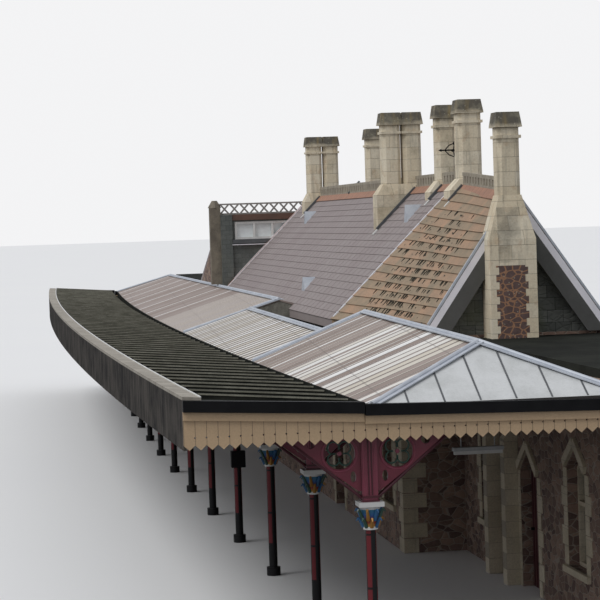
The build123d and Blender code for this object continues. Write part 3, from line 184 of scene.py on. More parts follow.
class Socket:
    """Wrap a shader socket so that values combine as plain arithmetic."""

    def __init__(self, graph: "Graph", socket: bpy.types.NodeSocket) -> None:
        """Keep the graph that the socket belongs to, and the socket."""
        self.graph = graph
        self.socket = socket

    __add__ = __radd__ = operator("ADD")
    __sub__ = operator("SUBTRACT")
    __rsub__ = operator("SUBTRACT", swapped=True)
    __mul__ = __rmul__ = operator("MULTIPLY")
    __truediv__ = operator("DIVIDE")
    __mod__ = operator("FLOORED_MODULO")
    __gt__ = operator("GREATER_THAN")
    __lt__ = operator("LESS_THAN")
    angle_from = operator("ARCTAN2")

    def fraction(self) -> "Socket":
        """Give the part after the decimal point."""
        return self.graph.node("ShaderNodeMath", {"operation": "FRACT"}, {0: self})

    def whole(self) -> "Socket":
        """Give the part before the decimal point."""
        return self.graph.node("ShaderNodeMath", {"operation": "FLOOR"}, {0: self})

    def clamped(self) -> "Socket":
        """Hold the value between 0 and 1."""
        return self.graph.node("ShaderNodeClamp", {}, {0: self})

    def above(self, level: float, gain: float) -> "Socket":
        """Rise from 0 at one level to 1, the faster the higher the gain."""
        return ((self - level) * gain).clamped()

    def between(self, low: float, high: float) -> "Socket":
        """Give 1 where the value lies between two limits."""
        return (self > low) * (self < high)


Value = Union[Socket, float, int]


class Graph:
    """One material's node tree, with a method that adds any node."""

    def __init__(self, name: str, shine: float = 0.5) -> None:
        """Start an empty material that ends in one Principled shader."""
        self.material = bpy.data.materials.new(name)
        self.material.use_nodes = True
        self.tree = self.material.node_tree
        self.shader = self.tree.nodes["Principled BSDF"]
        self.shader.inputs["Specular IOR Level"].default_value = shine
        coords = self.tree.nodes.new("ShaderNodeTexCoord")
        self.place = Socket(self, coords.outputs["Object"])
        parts = self.tree.nodes.new("ShaderNodeSeparateXYZ")
        self.tree.links.new(coords.outputs["Object"], parts.inputs[0])
        self.x, self.y, self.z = (Socket(self, parts.outputs[i]) for i in range(3))

    def node(self, kind: str, settings: dict, inputs: dict, output: Union[int, str] = 0) -> Socket:
        """Add a node.

        Args:
            kind: the node's type.
            settings: the node's own settings, such as its operation.
            inputs: values or sockets by input name or number.
            output: the output to return.

        Returns:
            The chosen output.
        """
        made = self.tree.nodes.new(kind)
        for key, value in settings.items():
            setattr(made, key, value)
        for key, value in inputs.items():
            self.plug(made.inputs[key], value)
        return Socket(self, made.outputs[output])

    def plug(self, target: bpy.types.NodeSocket, value: Union[Value, Colour]) -> None:
        """Link a socket to a node's input, or set the input to a plain value."""
        if isinstance(value, Socket):
            self.tree.links.new(value.socket, target)
        elif isinstance(value, tuple) and target.type == "RGBA":
            target.default_value = (*value, 1.0)
        else:
            target.default_value = value

    def vector(self, x: Value, y: Value, z: Value = 0.0) -> Socket:
        """Join three values into a vector."""
        return self.node("ShaderNodeCombineXYZ", {}, {0: x, 1: y, 2: z})

    def noise(self, scale: float, detail: float = 4.0, rough: float = 0.55, at: Optional[Socket] = None) -> Socket:
        """Add a noise pattern, and return its strength."""
        return self.node("ShaderNodeTexNoise", {}, {"Vector": at or self.place, "Scale": scale, "Detail": detail,
                                                    "Roughness": rough}, "Fac")

    def runs(self, across: float, down: float) -> Socket:
        """Add a noise pattern that is drawn out down the walls."""
        return self.noise(1.0, 5.0, 0.6, self.vector(self.x * across, self.y * across, self.z * down))

    def cells(self, place: Socket, scale: float, output: str = "Distance", feature: str = "F1") -> Socket:
        """Add a pattern of irregular cells."""
        return self.node("ShaderNodeTexVoronoi", {"feature": feature}, {"Vector": place, "Scale": scale}, output)

    def bricks(self, place: Socket, size: tuple[float, float], joint: float, colours: Sequence[Colour],
               smooth: float = 0.1) -> tuple[Socket, Socket]:
        """Add a pattern of courses.

        Args:
            place: where a point lies on the flat surface.
            size: one stone's width and one course's height.
            joint: the joints' width.
            colours: two for the stones and one for the joints.
            smooth: how softly a joint begins.

        Returns:
            The pattern's colour, and its joints as a factor.
        """
        light, dark, seam = colours
        colour = self.node("ShaderNodeTexBrick", {}, {
            "Vector": place, "Scale": 1.0, "Mortar Size": joint, "Mortar Smooth": smooth, "Bias": 0.0,
            "Brick Width": size[0], "Row Height": size[1], "Color1": light, "Color2": dark, "Mortar": seam}, "Color")
        return colour, Socket(self, colour.socket.node.outputs["Fac"])

    def ramp(self, value: Value, *stops: tuple[float, Colour]) -> Socket:
        """Turn a value into a colour through a ramp."""
        made = self.node("ShaderNodeValToRGB", {}, {"Fac": value}, "Color")
        elements = made.socket.node.color_ramp.elements
        while len(elements) < len(stops):
            elements.new(0.5)
        for element, (position, colour) in zip(elements, stops):
            element.position = position
            element.color = (*colour, 1.0)
        return made

    def mix(self, factor: Value, low: Union[Socket, Colour], high: Union[Socket, Colour],
            blend: str = "MIX") -> Socket:
        """Mix two colours."""
        return self.node("ShaderNodeMix", {"data_type": "RGBA", "blend_type": blend}, {0: factor, 6: low, 7: high}, 2)

    def grained(self, colour: Socket, amount: float, grain: Socket, low: float, high: float) -> Socket:
        """Lay a grey grain, which runs from one shade to another, over a colour."""
        return self.mix(amount, colour, self.ramp(grain, (0.3, (low,) * 3), (0.7, (high,) * 3)), "OVERLAY")

    def bump(self, height: Value, distance: float, strength: float) -> None:
        """Drive the shader's normal from a height."""
        normal = self.node("ShaderNodeBump", {}, {"Height": height, "Distance": distance, "Strength": strength})
        self.plug(self.shader.inputs["Normal"], normal)

    def finish(self, colour: Union[Socket, Colour], rough: Value, metallic: Value = 0.0) -> bpy.types.Material:
        """Set the shader's main inputs, and return the material."""
        for name, value in (("Base Color", colour), ("Roughness", rough), ("Metallic", metallic)):
            self.plug(self.shader.inputs[name], value)
        return self.material


@dataclass(frozen=True)
class Coursed:
    """Slates, tiles or dressed stones laid in courses."""

    name: str
    facing: Facing
    row: float
    width: float
    joint: float
    colours: tuple[Colour, Colour, Colour]
    stain: Colour
    stain_amount: float = 0.5
    stain_scale: float = 1.5
    rough: float = 0.8
    relief: float = 0.004

    def build(self) -> bpy.types.Material:
        """Make the material."""
        graph = Graph(self.name)
        place = graph.vector(graph.y if self.facing is Facing.SIDES else graph.x,
                             graph.y if self.facing is Facing.UP else graph.z)
        courses, joints = graph.bricks(place, (self.width, self.row), self.joint, self.colours, 0.3)
        patches = graph.noise(self.stain_scale, 6.0, 0.65)
        grain = graph.noise(60.0, 3.0)
        stain = ((patches - 0.5) * 5.0 * self.stain_amount + self.stain_amount * 0.5).clamped()
        colour = graph.grained(graph.mix(stain * 0.8, courses, self.stain), 0.35, grain, 0.35, 0.75)
        graph.bump(grain * 0.25 - joints, self.relief, 0.7)
        return graph.finish(colour, self.rough + stain * 0.1)


@dataclass(frozen=True)
class Rubble:
    """Rough stones of mixed size in pale joints, with hung slates above one height where it is given."""

    name: str
    dark: Colour = (0.10, 0.06, 0.05)
    light: Colour = (0.30, 0.20, 0.15)
    joint: Colour = (0.32, 0.28, 0.23)
    stones: float = 9.0
    slates_above: float = 0.0
    slates: tuple[Colour, Colour, Colour] = ((0.15, 0.155, 0.14), (0.085, 0.09, 0.08), (0.018, 0.02, 0.018))
    moss: Colour = (0.075, 0.085, 0.045)

    def build(self) -> bpy.types.Material:
        """Make the material."""
        graph = Graph(self.name)
        wobble = graph.noise(6.0, 2.0)
        flat = graph.vector(graph.x + wobble * 0.05, graph.y + wobble * 0.05, graph.z * 1.7)
        edges = graph.cells(flat, self.stones, feature="DISTANCE_TO_EDGE")
        grain = graph.noise(45.0, 5.0, 0.7)
        tone = graph.node("ShaderNodeSeparateColor", {}, {0: graph.cells(flat, self.stones, "Color")})
        stone = graph.grained(graph.mix(tone, self.dark, self.light), 0.4, grain, 0.3, 0.8)
        colour = graph.mix((edges < 0.045) * 0.7, stone, self.joint)
        if self.slates_above:
            hung, _ = graph.bricks(graph.vector(graph.x, graph.z), (mm(330), mm(250)), 0.0022, self.slates)
            hung = graph.mix(graph.noise(3.0, 5.0).above(0.5, 5.0) * 0.5, hung, self.moss)
            colour = graph.mix(graph.z > self.slates_above, colour, hung)
        graph.bump((edges * 6.0).clamped() + grain * 0.3, 0.008, 0.8)
        return graph.finish(colour, 0.85 + grain * 0.1)


@dataclass(frozen=True)
class Weathered:
    """Paint, lead, felt or stone with soft patches, streaks and fine grain."""

    name: str
    base: Colour
    patch: Colour
    patch_scale: float = 3.0
    patch_amount: float = 0.5
    streaks: float = 0.0
    seam_pitch: float = 0.0
    seam_axis: str = "y"
    seam_start: float = 0.0
    seam_width: float = 0.08
    seam_colour: Colour = (0.05, 0.05, 0.05)
    rough: float = 0.6
    metallic: float = 0.0
    grain: float = 0.2
    relief: float = 0.0015
    coat: float = 0.0
    shine: float = 0.5

    def build(self) -> bpy.types.Material:
        """Make the material."""
        graph = Graph(self.name, self.shine)
        patches = graph.noise(self.patch_scale, 6.0, 0.62)
        fine = graph.noise(70.0, 4.0, 0.6)
        amount = ((patches - 0.5) * 4.0 + 0.5).clamped() * self.patch_amount
        colour = graph.mix(amount, self.base, self.patch)
        if self.streaks:
            colour = graph.mix(graph.runs(9.0, 0.8).above(0.5, 4.0) * self.streaks, colour, self.patch)
        colour = graph.grained(colour, self.grain, fine, 0.35, 0.7)
        height = fine * 0.4 + patches * 0.3
        if self.seam_pitch:
            along = getattr(graph, self.seam_axis)
            seam = ((along - self.seam_start) / self.seam_pitch).fraction() < self.seam_width
            colour = graph.mix(seam, colour, self.seam_colour)
            height = height - seam
        graph.bump(height, self.relief, 0.6)
        graph.shader.inputs["Coat Weight"].default_value = self.coat
        return graph.finish(colour, self.rough + (fine - 0.5) * 0.2, self.metallic)


@dataclass(frozen=True)
class ColumnPaint:
    """Dark red shafts with black feet and rings, and three black stripes of fluting, turned so that the side away
    from the light is black as painted shade.
    """

    name: str = "column_red_and_black"
    red: Colour = (0.155, 0.022, 0.027)
    black: Colour = (0.012, 0.012, 0.013)
    chipped: Colour = (0.16, 0.12, 0.10)
    foot: float = mm(620)
    rings: Sequence[tuple[float, float]] = ((mm(1180), mm(1215)), (mm(1990), mm(2020)))
    # Black stripes round the shaft: partly fluting, partly painted shade on the side away from the light
    flute_and_shade_stripes: int = 3
    turn: float = math.radians(99.2)

    def build(self) -> bpy.types.Material:
        """Make the material."""
        graph = Graph(self.name, 0.25)
        chips = graph.noise(40.0, 5.0, 0.7)
        dark = graph.z < self.foot + (chips - 0.5) * 0.02
        for low, high in self.rings:
            dark = dark + graph.z.between(low, high)
        along = (graph.y - FIRST_COLUMN + BAY / 2) % BAY - BAY / 2
        column_y = graph.y - along - CURVE_MIDDLE
        beside = graph.x - (column_y * column_y / (2 * CURVE_RADIUS) + COLUMN_ROW)
        # The turn puts the black stripes on the column's side away from the light, as painted shade
        stripes = (along.angle_from(beside) + self.turn) / (math.tau / self.flute_and_shade_stripes)
        colour = graph.mix((dark + (stripes.fraction() < 0.5)).clamped(), self.red, self.black)
        colour = graph.mix((chips > 0.68) * 0.35, colour, self.chipped)
        graph.bump(chips, 0.0008, 0.5)
        return graph.finish(colour, 0.34 + chips * 0.15)


@dataclass(frozen=True)
class CapitalPaint:
    """White plate and neck, with a bell that runs from yellow through red to blue."""

    name: str = "painted_capital"
    foot: float = mm(2100)
    plate: float = mm(2385)
    white: Colour = (0.62, 0.62, 0.60)
    bell: Sequence[tuple[float, Colour]] = (
        (0.10, (0.50, 0.30, 0.04)), (0.30, (0.32, 0.05, 0.03)), (0.52, (0.10, 0.03, 0.10)),
        (0.70, (0.03, 0.10, 0.30)), (0.95, (0.03, 0.16, 0.26)))

    def build(self) -> bpy.types.Material:
        """Make the material."""
        graph = Graph(self.name)
        wear = graph.noise(30.0, 4.0)
        height = (graph.z - self.foot) / (self.plate - self.foot) + (wear - 0.5) * 0.15
        colour = graph.mix(graph.z > self.plate, graph.ramp(height, *self.bell), self.white)
        graph.bump(wear, 0.001, 0.5)
        return graph.finish(colour, 0.4 + wear * 0.1)


@dataclass(frozen=True)
class RubblePanel:
    """A toothed panel of dark rubble in orange mortar, on one face of a chimney."""

    left: float
    right: float
    bottom: float
    top: float
    face: float
    stones: tuple[Colour, Colour] = ((0.055, 0.035, 0.035), (0.16, 0.10, 0.085))
    mortar: Colour = (0.30, 0.16, 0.09)
    stain: Colour = (0.14, 0.13, 0.105)
    tooth: float = mm(60)
    tooth_rise: float = mm(145)
    stain_rise: float = mm(1150)

    def lay(self, graph: Graph, colour: Socket) -> Socket:
        """Lay the panel over a chimney's colour, with a dark stain on the stone above it."""
        near = graph.y < self.face
        shift = ((graph.z / self.tooth_rise) % 2.0 < 1.0) * self.tooth
        inside = (graph.x - shift).between(self.left, self.right) * graph.z.between(self.bottom, self.top) * near
        flat = graph.vector(graph.x, graph.noise(5.0) * 0.1, graph.z * 1.5)
        edges = graph.cells(flat, 11.0, feature="DISTANCE_TO_EDGE")
        rubble = graph.mix(edges < 0.07, graph.mix(graph.noise(9.0, 2.0), *self.stones), self.mortar)
        stain = graph.noise(4.0, 4.0).above(0.35, 4.0) * near
        stain = stain * graph.x.between(self.left + self.tooth, self.right - self.tooth)
        stain = stain * graph.z.between(self.top + self.tooth, self.top + self.stain_rise)
        return graph.mix(inside, graph.mix(stain * 0.6, colour, self.stain), rubble)


@dataclass(frozen=True)
class ChimneyStone:
    """Buff dressed stone, blackened near the top and green with lichen on its ledges."""

    name: str
    colours: tuple[Colour, Colour, Colour] = ((0.62, 0.53, 0.38), (0.70, 0.63, 0.49), (0.30, 0.26, 0.19))
    grime: Colour = (0.22, 0.19, 0.13)
    streak: Colour = (0.15, 0.135, 0.105)
    rust: Colour = (0.42, 0.27, 0.15)
    cap: tuple[Colour, Colour, Colour] = ((0.075, 0.068, 0.055), (0.20, 0.185, 0.135), (0.30, 0.215, 0.075))
    lichen: Colour = (0.46, 0.44, 0.34)
    cap_bottom: float = mm(8960)
    panel: Optional[RubblePanel] = None

    def build(self) -> bpy.types.Material:
        """Make the material."""
        graph = Graph(self.name)
        place = graph.vector(graph.x + graph.y, graph.z)
        stone, joints = graph.bricks(place, (mm(520), mm(290)), 0.0018, self.colours)
        patches = graph.noise(2.6, 7.0, 0.68)
        grain = graph.noise(55.0, 5.0, 0.65)
        blotch = graph.noise(7.0, 3.0, 0.6)
        run = graph.runs(11.0, 0.9)
        colour = graph.mix(patches.above(0.52, 5.0) * 0.55, stone, self.grime)
        colour = graph.mix(run.above(0.54, 5.0) * 0.5, colour, self.streak)
        colour = graph.mix(blotch.above(0.58, 8.0) * 0.35, colour, self.rust)
        if self.panel:
            colour = self.panel.lay(graph, colour)
        soot, pale, yellow = self.cap
        cap = graph.mix(blotch.above(0.47, 6.0) * 0.8, soot, pale)
        cap = graph.mix(run.above(0.5, 6.0) * 0.5, cap, yellow)
        high = ((graph.z - self.cap_bottom) * 14.0 + (patches - 0.5) * 2.2 + 0.3).clamped()
        colour = graph.mix(high * 0.95, colour, cap)
        spots = (graph.cells(graph.place, 26.0) < 0.16) * (patches > 0.45)
        colour = graph.grained(graph.mix(spots * 0.5, colour, self.lichen), 0.3, grain, 0.3, 0.75)
        graph.bump(grain * 0.4 - joints, 0.003, 0.8)
        return graph.finish(colour, 0.85)


@dataclass(frozen=True)
class WindowGlass:
    """Dark old window glass with a slight waviness."""

    name: str = "old_window_glass"
    tint: Colour = (0.045, 0.055, 0.06)
    glint: Colour = (0.10, 0.12, 0.13)

    def build(self) -> bpy.types.Material:
        """Make the material."""
        graph = Graph(self.name, 0.7)
        waves = graph.noise(14.0, 2.0)
        graph.bump(waves, 0.004, 0.4)
        return graph.finish(graph.mix(waves * 0.5, self.tint, self.glint), 0.06 + waves * 0.05)


@dataclass(frozen=True)
class CanopySheet:
    """Canopy sheets in strips down the slope, some white and some weathered to a brownish pink. A dark line at each
    rib is the rib's painted shadow on the near sheets, and a wider darker band on the middle and far ones.
    """

    name: str
    pitch: float
    white_widths: tuple[float, float]
    rib: float
    rib_shadow_and_band_colour: Colour = (0.035, 0.03, 0.027)
    lined_until: float = CANOPY_END
    white: Colour = (0.82, 0.82, 0.81)
    cream: Colour = (0.60, 0.55, 0.46)
    pink: Colour = (0.33, 0.265, 0.235)
    brown: Colour = (0.23, 0.175, 0.145)
    grime: Colour = (0.20, 0.165, 0.145)
    lap_colour: Colour = (0.12, 0.10, 0.09)
    seam: Colour = (0.80, 0.79, 0.77)
    lap: float = mm(1250)
    sheets_a_seam: float = 8.0

    def build(self) -> bpy.types.Material:
        """Make the material."""
        graph = Graph(self.name)
        along = (graph.y - CANOPY_START) / self.pitch
        across = along.fraction()
        chance = graph.node("ShaderNodeTexWhiteNoise", {"noise_dimensions": "1D"}, {"W": along.whole()}, "Value")
        patches = graph.noise(1.6, 4.0, 0.6)
        sheet = graph.mix(((chance * 7.0).fraction() * 0.7 + patches * 0.5).clamped(), self.pink, self.brown)
        pale = graph.mix((chance * 13.0).fraction(), self.cream, self.white)
        least, most = self.white_widths
        band = across < ((chance * 29.0).fraction() * (most - least) + least)
        lined = graph.y < self.lined_until
        colour = graph.mix(band * lined * 0.95, sheet, pale)
        grime = graph.noise(1.0, 4.0, 0.6, graph.vector(graph.x * 0.9, graph.y * 9.0))
        colour = graph.mix(grime.above(0.5, 4.0) * 0.35, colour, self.grime)
        laps = ((graph.x - graph.y * 0.05) / self.lap).fraction() < 0.02
        colour = graph.mix(laps * 0.35, colour, self.lap_colour)
        # Dark line at each rib: painted shadow of the rib on the near sheets, a wider darker band on the middle and
        # far sheets
        ribs = across < self.rib
        colour = graph.mix(ribs * lined + (across < 0.10) * (1.0 - lined) * 0.4, colour, self.rib_shadow_and_band_colour)
        seams = (along / self.sheets_a_seam).fraction() < 0.06
        colour = graph.mix(seams * (1.0 - lined) * 0.9, colour, self.seam)
        graph.bump(ribs, 0.004, 0.5)
        return graph.finish(colour, 0.5 + patches * 0.2)


FINISHES = (
    Coursed("clerestory_slates", Facing.SIDES, mm(210) * 0.7071, mm(300), 0.0022,
            ((0.27, 0.23, 0.225), (0.20, 0.17, 0.175), (0.075, 0.065, 0.065)), (0.33, 0.30, 0.28), 0.35, 1.2),
    Coursed("brown_roof_tiles", Facing.SIDES, mm(190) * 0.822, mm(260), 0.003,
            ((0.30, 0.20, 0.125), (0.20, 0.15, 0.10), (0.05, 0.035, 0.02)), (0.055, 0.05, 0.03), 0.5, 4.5,
            rough=0.9, relief=0.006),
    Coursed("hung_slates", Facing.ENDS, mm(150), mm(250), 0.0015,
            ((0.12, 0.13, 0.12), (0.085, 0.095, 0.09), (0.035, 0.04, 0.035)), (0.15, 0.15, 0.12), 0.4, 2.0),
    Coursed("dressed_limestone", Facing.ENDS, mm(290), mm(520), 0.002,
            ((0.50, 0.43, 0.31), (0.56, 0.49, 0.37), (0.30, 0.26, 0.20)), (0.24, 0.21, 0.15), 0.4, 2.2),
    Coursed("floor_slabs", Facing.UP, mm(600), mm(900), 0.003,
            ((0.30, 0.29, 0.27), (0.24, 0.23, 0.21), (0.12, 0.12, 0.11)), (0.18, 0.17, 0.15), 0.4, 1.5),
    Rubble("dark_rubble"),
    Rubble("gable_rubble_and_slates", slates_above=mm(4310)),
    Weathered("grey_roof_slates", (0.245, 0.205, 0.20), (0.285, 0.25, 0.24), 2.0, 0.6, rough=0.75, grain=0.22),
    Weathered("felt_deck", (0.014, 0.015, 0.013), (0.032, 0.034, 0.028), 2.5, 0.55, rough=0.95, grain=0.4,
              relief=0.004, shine=0.05),
    Weathered("roll_timber", (0.018, 0.019, 0.016), (0.045, 0.045, 0.036), 5.0, 0.65, rough=0.95, grain=0.4,
              shine=0.05),
    # Pale strip along the top of each deck roll: painted highlight
    Weathered("roll_highlight", (0.17, 0.165, 0.13), (0.32, 0.31, 0.25), 6.0, 0.7, rough=0.9, grain=0.4, shine=0.1),
    Weathered("pale_capping", (0.36, 0.33, 0.28), (0.20, 0.18, 0.15), 4.0, 0.6, seam_pitch=mm(914),
              seam_width=0.02, seam_colour=(0.07, 0.06, 0.05), rough=0.85, grain=0.4),
    Weathered("fascia_boards", (0.032, 0.031, 0.031), (0.12, 0.108, 0.096), 3.0, 0.5, streaks=0.75,
              seam_pitch=mm(300), seam_width=0.05, seam_colour=(0.012, 0.012, 0.012), rough=0.95, shine=0.03),
    Weathered("cream_boards", (0.50, 0.355, 0.215), (0.40, 0.285, 0.175), 3.0, 0.35, streaks=0.18,
              seam_pitch=mm(167.5), seam_axis="x", seam_start=curve_x(OUTER_EDGE, CANOPY_START) + mm(3),
              seam_width=0.035, seam_colour=(0.10, 0.075, 0.05), rough=0.45, relief=0.002),
    Weathered("cream_strip", (0.50, 0.355, 0.215), (0.40, 0.285, 0.175), 3.0, 0.35, streaks=0.15, rough=0.42),
    Weathered("gutter_black", (0.006, 0.006, 0.007), (0.014, 0.014, 0.015), 6.0, 0.4, rough=0.45, grain=0.1,
              shine=0.12),
    Weathered("white_verge", (0.82, 0.80, 0.84), (0.60, 0.60, 0.63), 5.0, 0.35, streaks=0.2, rough=0.45),
    Weathered("old_verge", (0.085, 0.085, 0.08), (0.06, 0.06, 0.055), 5.0, 0.5, streaks=0.3, rough=0.8),
    Weathered("sheet_lead", (0.40, 0.43, 0.48), (0.60, 0.63, 0.67), 6.0, 0.5, rough=0.5, metallic=0.15),
    Weathered("dull_lead", (0.075, 0.08, 0.085), (0.13, 0.135, 0.14), 8.0, 0.5),
    Weathered("mottled_flat", (0.13, 0.125, 0.105), (0.24, 0.23, 0.20), 14.0, 0.8, rough=0.95, grain=0.6),
    Weathered("white_hip_panel", (0.56, 0.57, 0.57), (0.40, 0.41, 0.40), 4.0, 0.6, rough=0.4),
    Weathered("crimson_paint", (0.19, 0.024, 0.046), (0.12, 0.016, 0.03), 9.0, 0.4, rough=0.36, coat=0.2),
    Weathered("dark_crimson", (0.085, 0.012, 0.022), (0.05, 0.010, 0.016), 9.0, 0.4, rough=0.4),
    Weathered("pink_paint", (0.25, 0.045, 0.078), (0.17, 0.03, 0.05), 9.0, 0.4, rough=0.36, coat=0.2),
    Weathered("green_paint", (0.025, 0.075, 0.055), (0.05, 0.11, 0.08), 9.0, 0.4, rough=0.38, coat=0.2),
    Weathered("white_paint", (0.70, 0.70, 0.68), (0.50, 0.50, 0.47), 9.0, 0.35, rough=0.42),
    Weathered("gold_leaf_paint", (0.38, 0.20, 0.04), (0.28, 0.10, 0.03), 20.0, 0.4, rough=0.35, metallic=0.3),
    Weathered("blue_paint", (0.03, 0.12, 0.26), (0.03, 0.08, 0.18), 20.0, 0.4, rough=0.38),
    Weathered("dark_beam", (0.040, 0.030, 0.027), (0.07, 0.055, 0.045), 6.0, 0.5),
    Weathered("girder_paint", (0.12, 0.02, 0.03), (0.07, 0.015, 0.02), 6.0, 0.5, rough=0.5),
    Weathered("lattice_paint", (0.30, 0.28, 0.26), (0.15, 0.14, 0.13), 9.0, 0.5, rough=0.7),
    Weathered("door_paint", (0.085, 0.022, 0.024), (0.055, 0.018, 0.018), 5.0, 0.4, seam_pitch=mm(150),
              seam_width=0.06, seam_colour=(0.02, 0.01, 0.01), rough=0.45),
    Weathered("grey_metal", (0.42, 0.43, 0.44), (0.30, 0.31, 0.32), 9.0, 0.4, rough=0.4, metallic=0.2),
    Weathered("pale_old_glass", (0.84, 0.88, 0.88), (0.66, 0.71, 0.71), 5.0, 0.6, rough=0.25),
    Weathered("fired_clay", (0.36, 0.32, 0.25), (0.20, 0.175, 0.135), 7.0, 0.6, seam_pitch=mm(300),
              seam_width=0.03, seam_colour=(0.05, 0.035, 0.03), rough=0.8, grain=0.35),
    Weathered("red_ridge_clay", (0.36, 0.19, 0.125), (0.25, 0.145, 0.105), 8.0, 0.6, seam_pitch=mm(450),
              seam_width=0.03, seam_colour=(0.06, 0.03, 0.02), rough=0.8, grain=0.35),
    Weathered("orange_tile", (0.37, 0.235, 0.15), (0.28, 0.20, 0.135), 5.0, 0.8, streaks=0.4, rough=0.85,
              grain=0.5, relief=0.003),
    Weathered("ochre_tile", (0.31, 0.225, 0.15), (0.22, 0.18, 0.125), 5.0, 0.8, streaks=0.4, rough=0.88,
              grain=0.5, relief=0.003),
    Weathered("moss_black", (0.018, 0.016, 0.010), (0.04, 0.035, 0.018), 20.0, 0.5, rough=0.95, grain=0.4),
    Weathered("brown_rail", (0.13, 0.07, 0.05), (0.08, 0.05, 0.04), 8.0, 0.6, rough=0.7, grain=0.4),
    Weathered("old_pier_stone", (0.22, 0.19, 0.145), (0.11, 0.095, 0.075), 5.0, 0.8, streaks=0.5, rough=0.9,
              grain=0.45, relief=0.005),
    ColumnPaint(),
    CapitalPaint(),
    WindowGlass(),
    ChimneyStone("chimney_limestone"),
    ChimneyStone("near_chimney_stone", cap_bottom=mm(8420),
                 panel=RubblePanel(mm(-700), mm(-110), mm(4100), mm(5690), mm(-14300))),
    CanopySheet("near_canopy_sheets", mm(410), (0.10, 0.95), 0.09),
    CanopySheet("mid_canopy_sheets", mm(430), (1.0, 1.0), 0.50, rib_shadow_and_band_colour=(0.15, 0.125, 0.11),
                white=(0.92, 0.92, 0.91)),
    CanopySheet("far_canopy_sheets", mm(430), (1.0, 1.0), 0.62, lined_until=mm(7000), pink=(0.35, 0.29, 0.265),
                rib_shadow_and_band_colour=(0.28, 0.225, 0.20), white=(0.56, 0.53, 0.50)),
)


class Palette:
    """Every finish of the station, made once and shared."""

    def __init__(self) -> None:
        """Make all the materials."""
        self.materials = {finish.name: finish.build() for finish in FINISHES}
        log.info("made %d finishes", len(self.materials))

    def pick(self, *names: str) -> list[bpy.types.Material]:
        """Find some finishes by name."""
        return [self.materials[name] for name in names]


# The finish of each node that isn't rubble all over
NODE_FINISHES: dict[str, str] = {
    "grey_roof": "grey_roof_slates", "brown_roof": "brown_roof_tiles", "clerestory_roof": "clerestory_slates",
    "near_canopy_roof": "near_canopy_sheets", "mid_canopy_roof": "mid_canopy_sheets",
    "far_canopy_roof": "far_canopy_sheets", "track_side_roof": "felt_deck", "roof_rolls": "roll_timber",
    "edge_capping": "pale_capping", "track_side_fascia": "fascia_boards", "valley_gutter": "felt_deck",
    "end_valances": "cream_boards", "head_boards": "cream_strip", "end_gutters": "gutter_black",
    "column_girder": "girder_paint", "canopy_rafters": "dark_beam", "tie_beams": "dark_beam",
    "columns": "column_red_and_black", "capitals": "painted_capital", "bracket_posts": "pink_paint",
    "spandrel_brackets": "crimson_paint", "near_chimney": "near_chimney_stone",
    "near_gable_wall": "gable_rubble_and_slates", "roof_chimneys": "chimney_limestone",
    "ridge_tiles": "fired_clay", "lattice_cresting": "lattice_paint", "verge_boards": "old_verge",
    "lead_flat": "sheet_lead", "wing_roofs": "felt_deck", "ground_floors": "floor_slabs",
    "window_frames": "dressed_limestone", "window_glass": "old_window_glass", "doors": "door_paint",
    "clerestory_near_wall": "hung_slates", "ridge_finial": "gutter_black", "roof_vents": "sheet_lead",
    "wall_buttresses": "dressed_limestone",
}


@dataclass(frozen=True)
class FaceRule:
    """A finish for those faces of a node that a test of their middle and normal picks out."""

    node: str
    finish: str
    picks: Callable[[Vector, Vector], bool]


FACE_RULES: tuple[FaceRule, ...] = (
    FaceRule("near_canopy_roof", "white_hip_panel", lambda middle, normal: normal.y < -0.2 and normal.z > 0.5),
    FaceRule("window_frames", "white_paint", lambda middle, normal: middle.z > mm(6100)),
    FaceRule("window_glass", "pale_old_glass", lambda middle, normal: middle.z > mm(6100)),
    FaceRule("mid_canopy_roof", "mottled_flat", lambda middle, normal: normal.x > 0.2 or normal.z < -0.5),
    FaceRule("brown_roof", "white_verge", lambda middle, normal: normal.y < -0.5),
    FaceRule("wall_buttresses", "hung_slates", lambda middle, normal: middle.z > mm(4400)),
)


def dress_nodes(palette: Palette) -> None:
    """Give every node of the part its finish, and some of their faces another one."""
    for name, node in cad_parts.items():
        data = node.data
        rules = [rule for rule in FACE_RULES if rule.node == name]
        names = (NODE_FINISHES.get(name, "dark_rubble"), *(rule.finish for rule in rules))
        data.materials.clear()
        for material in palette.pick(*names):
            data.materials.append(material)
        for polygon in data.polygons:
            polygon.material_index = next((index for index, rule in enumerate(rules, 1)
                                           if rule.picks(polygon.center, polygon.normal)), 0)
    log.info("dressed %d nodes", len(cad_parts))


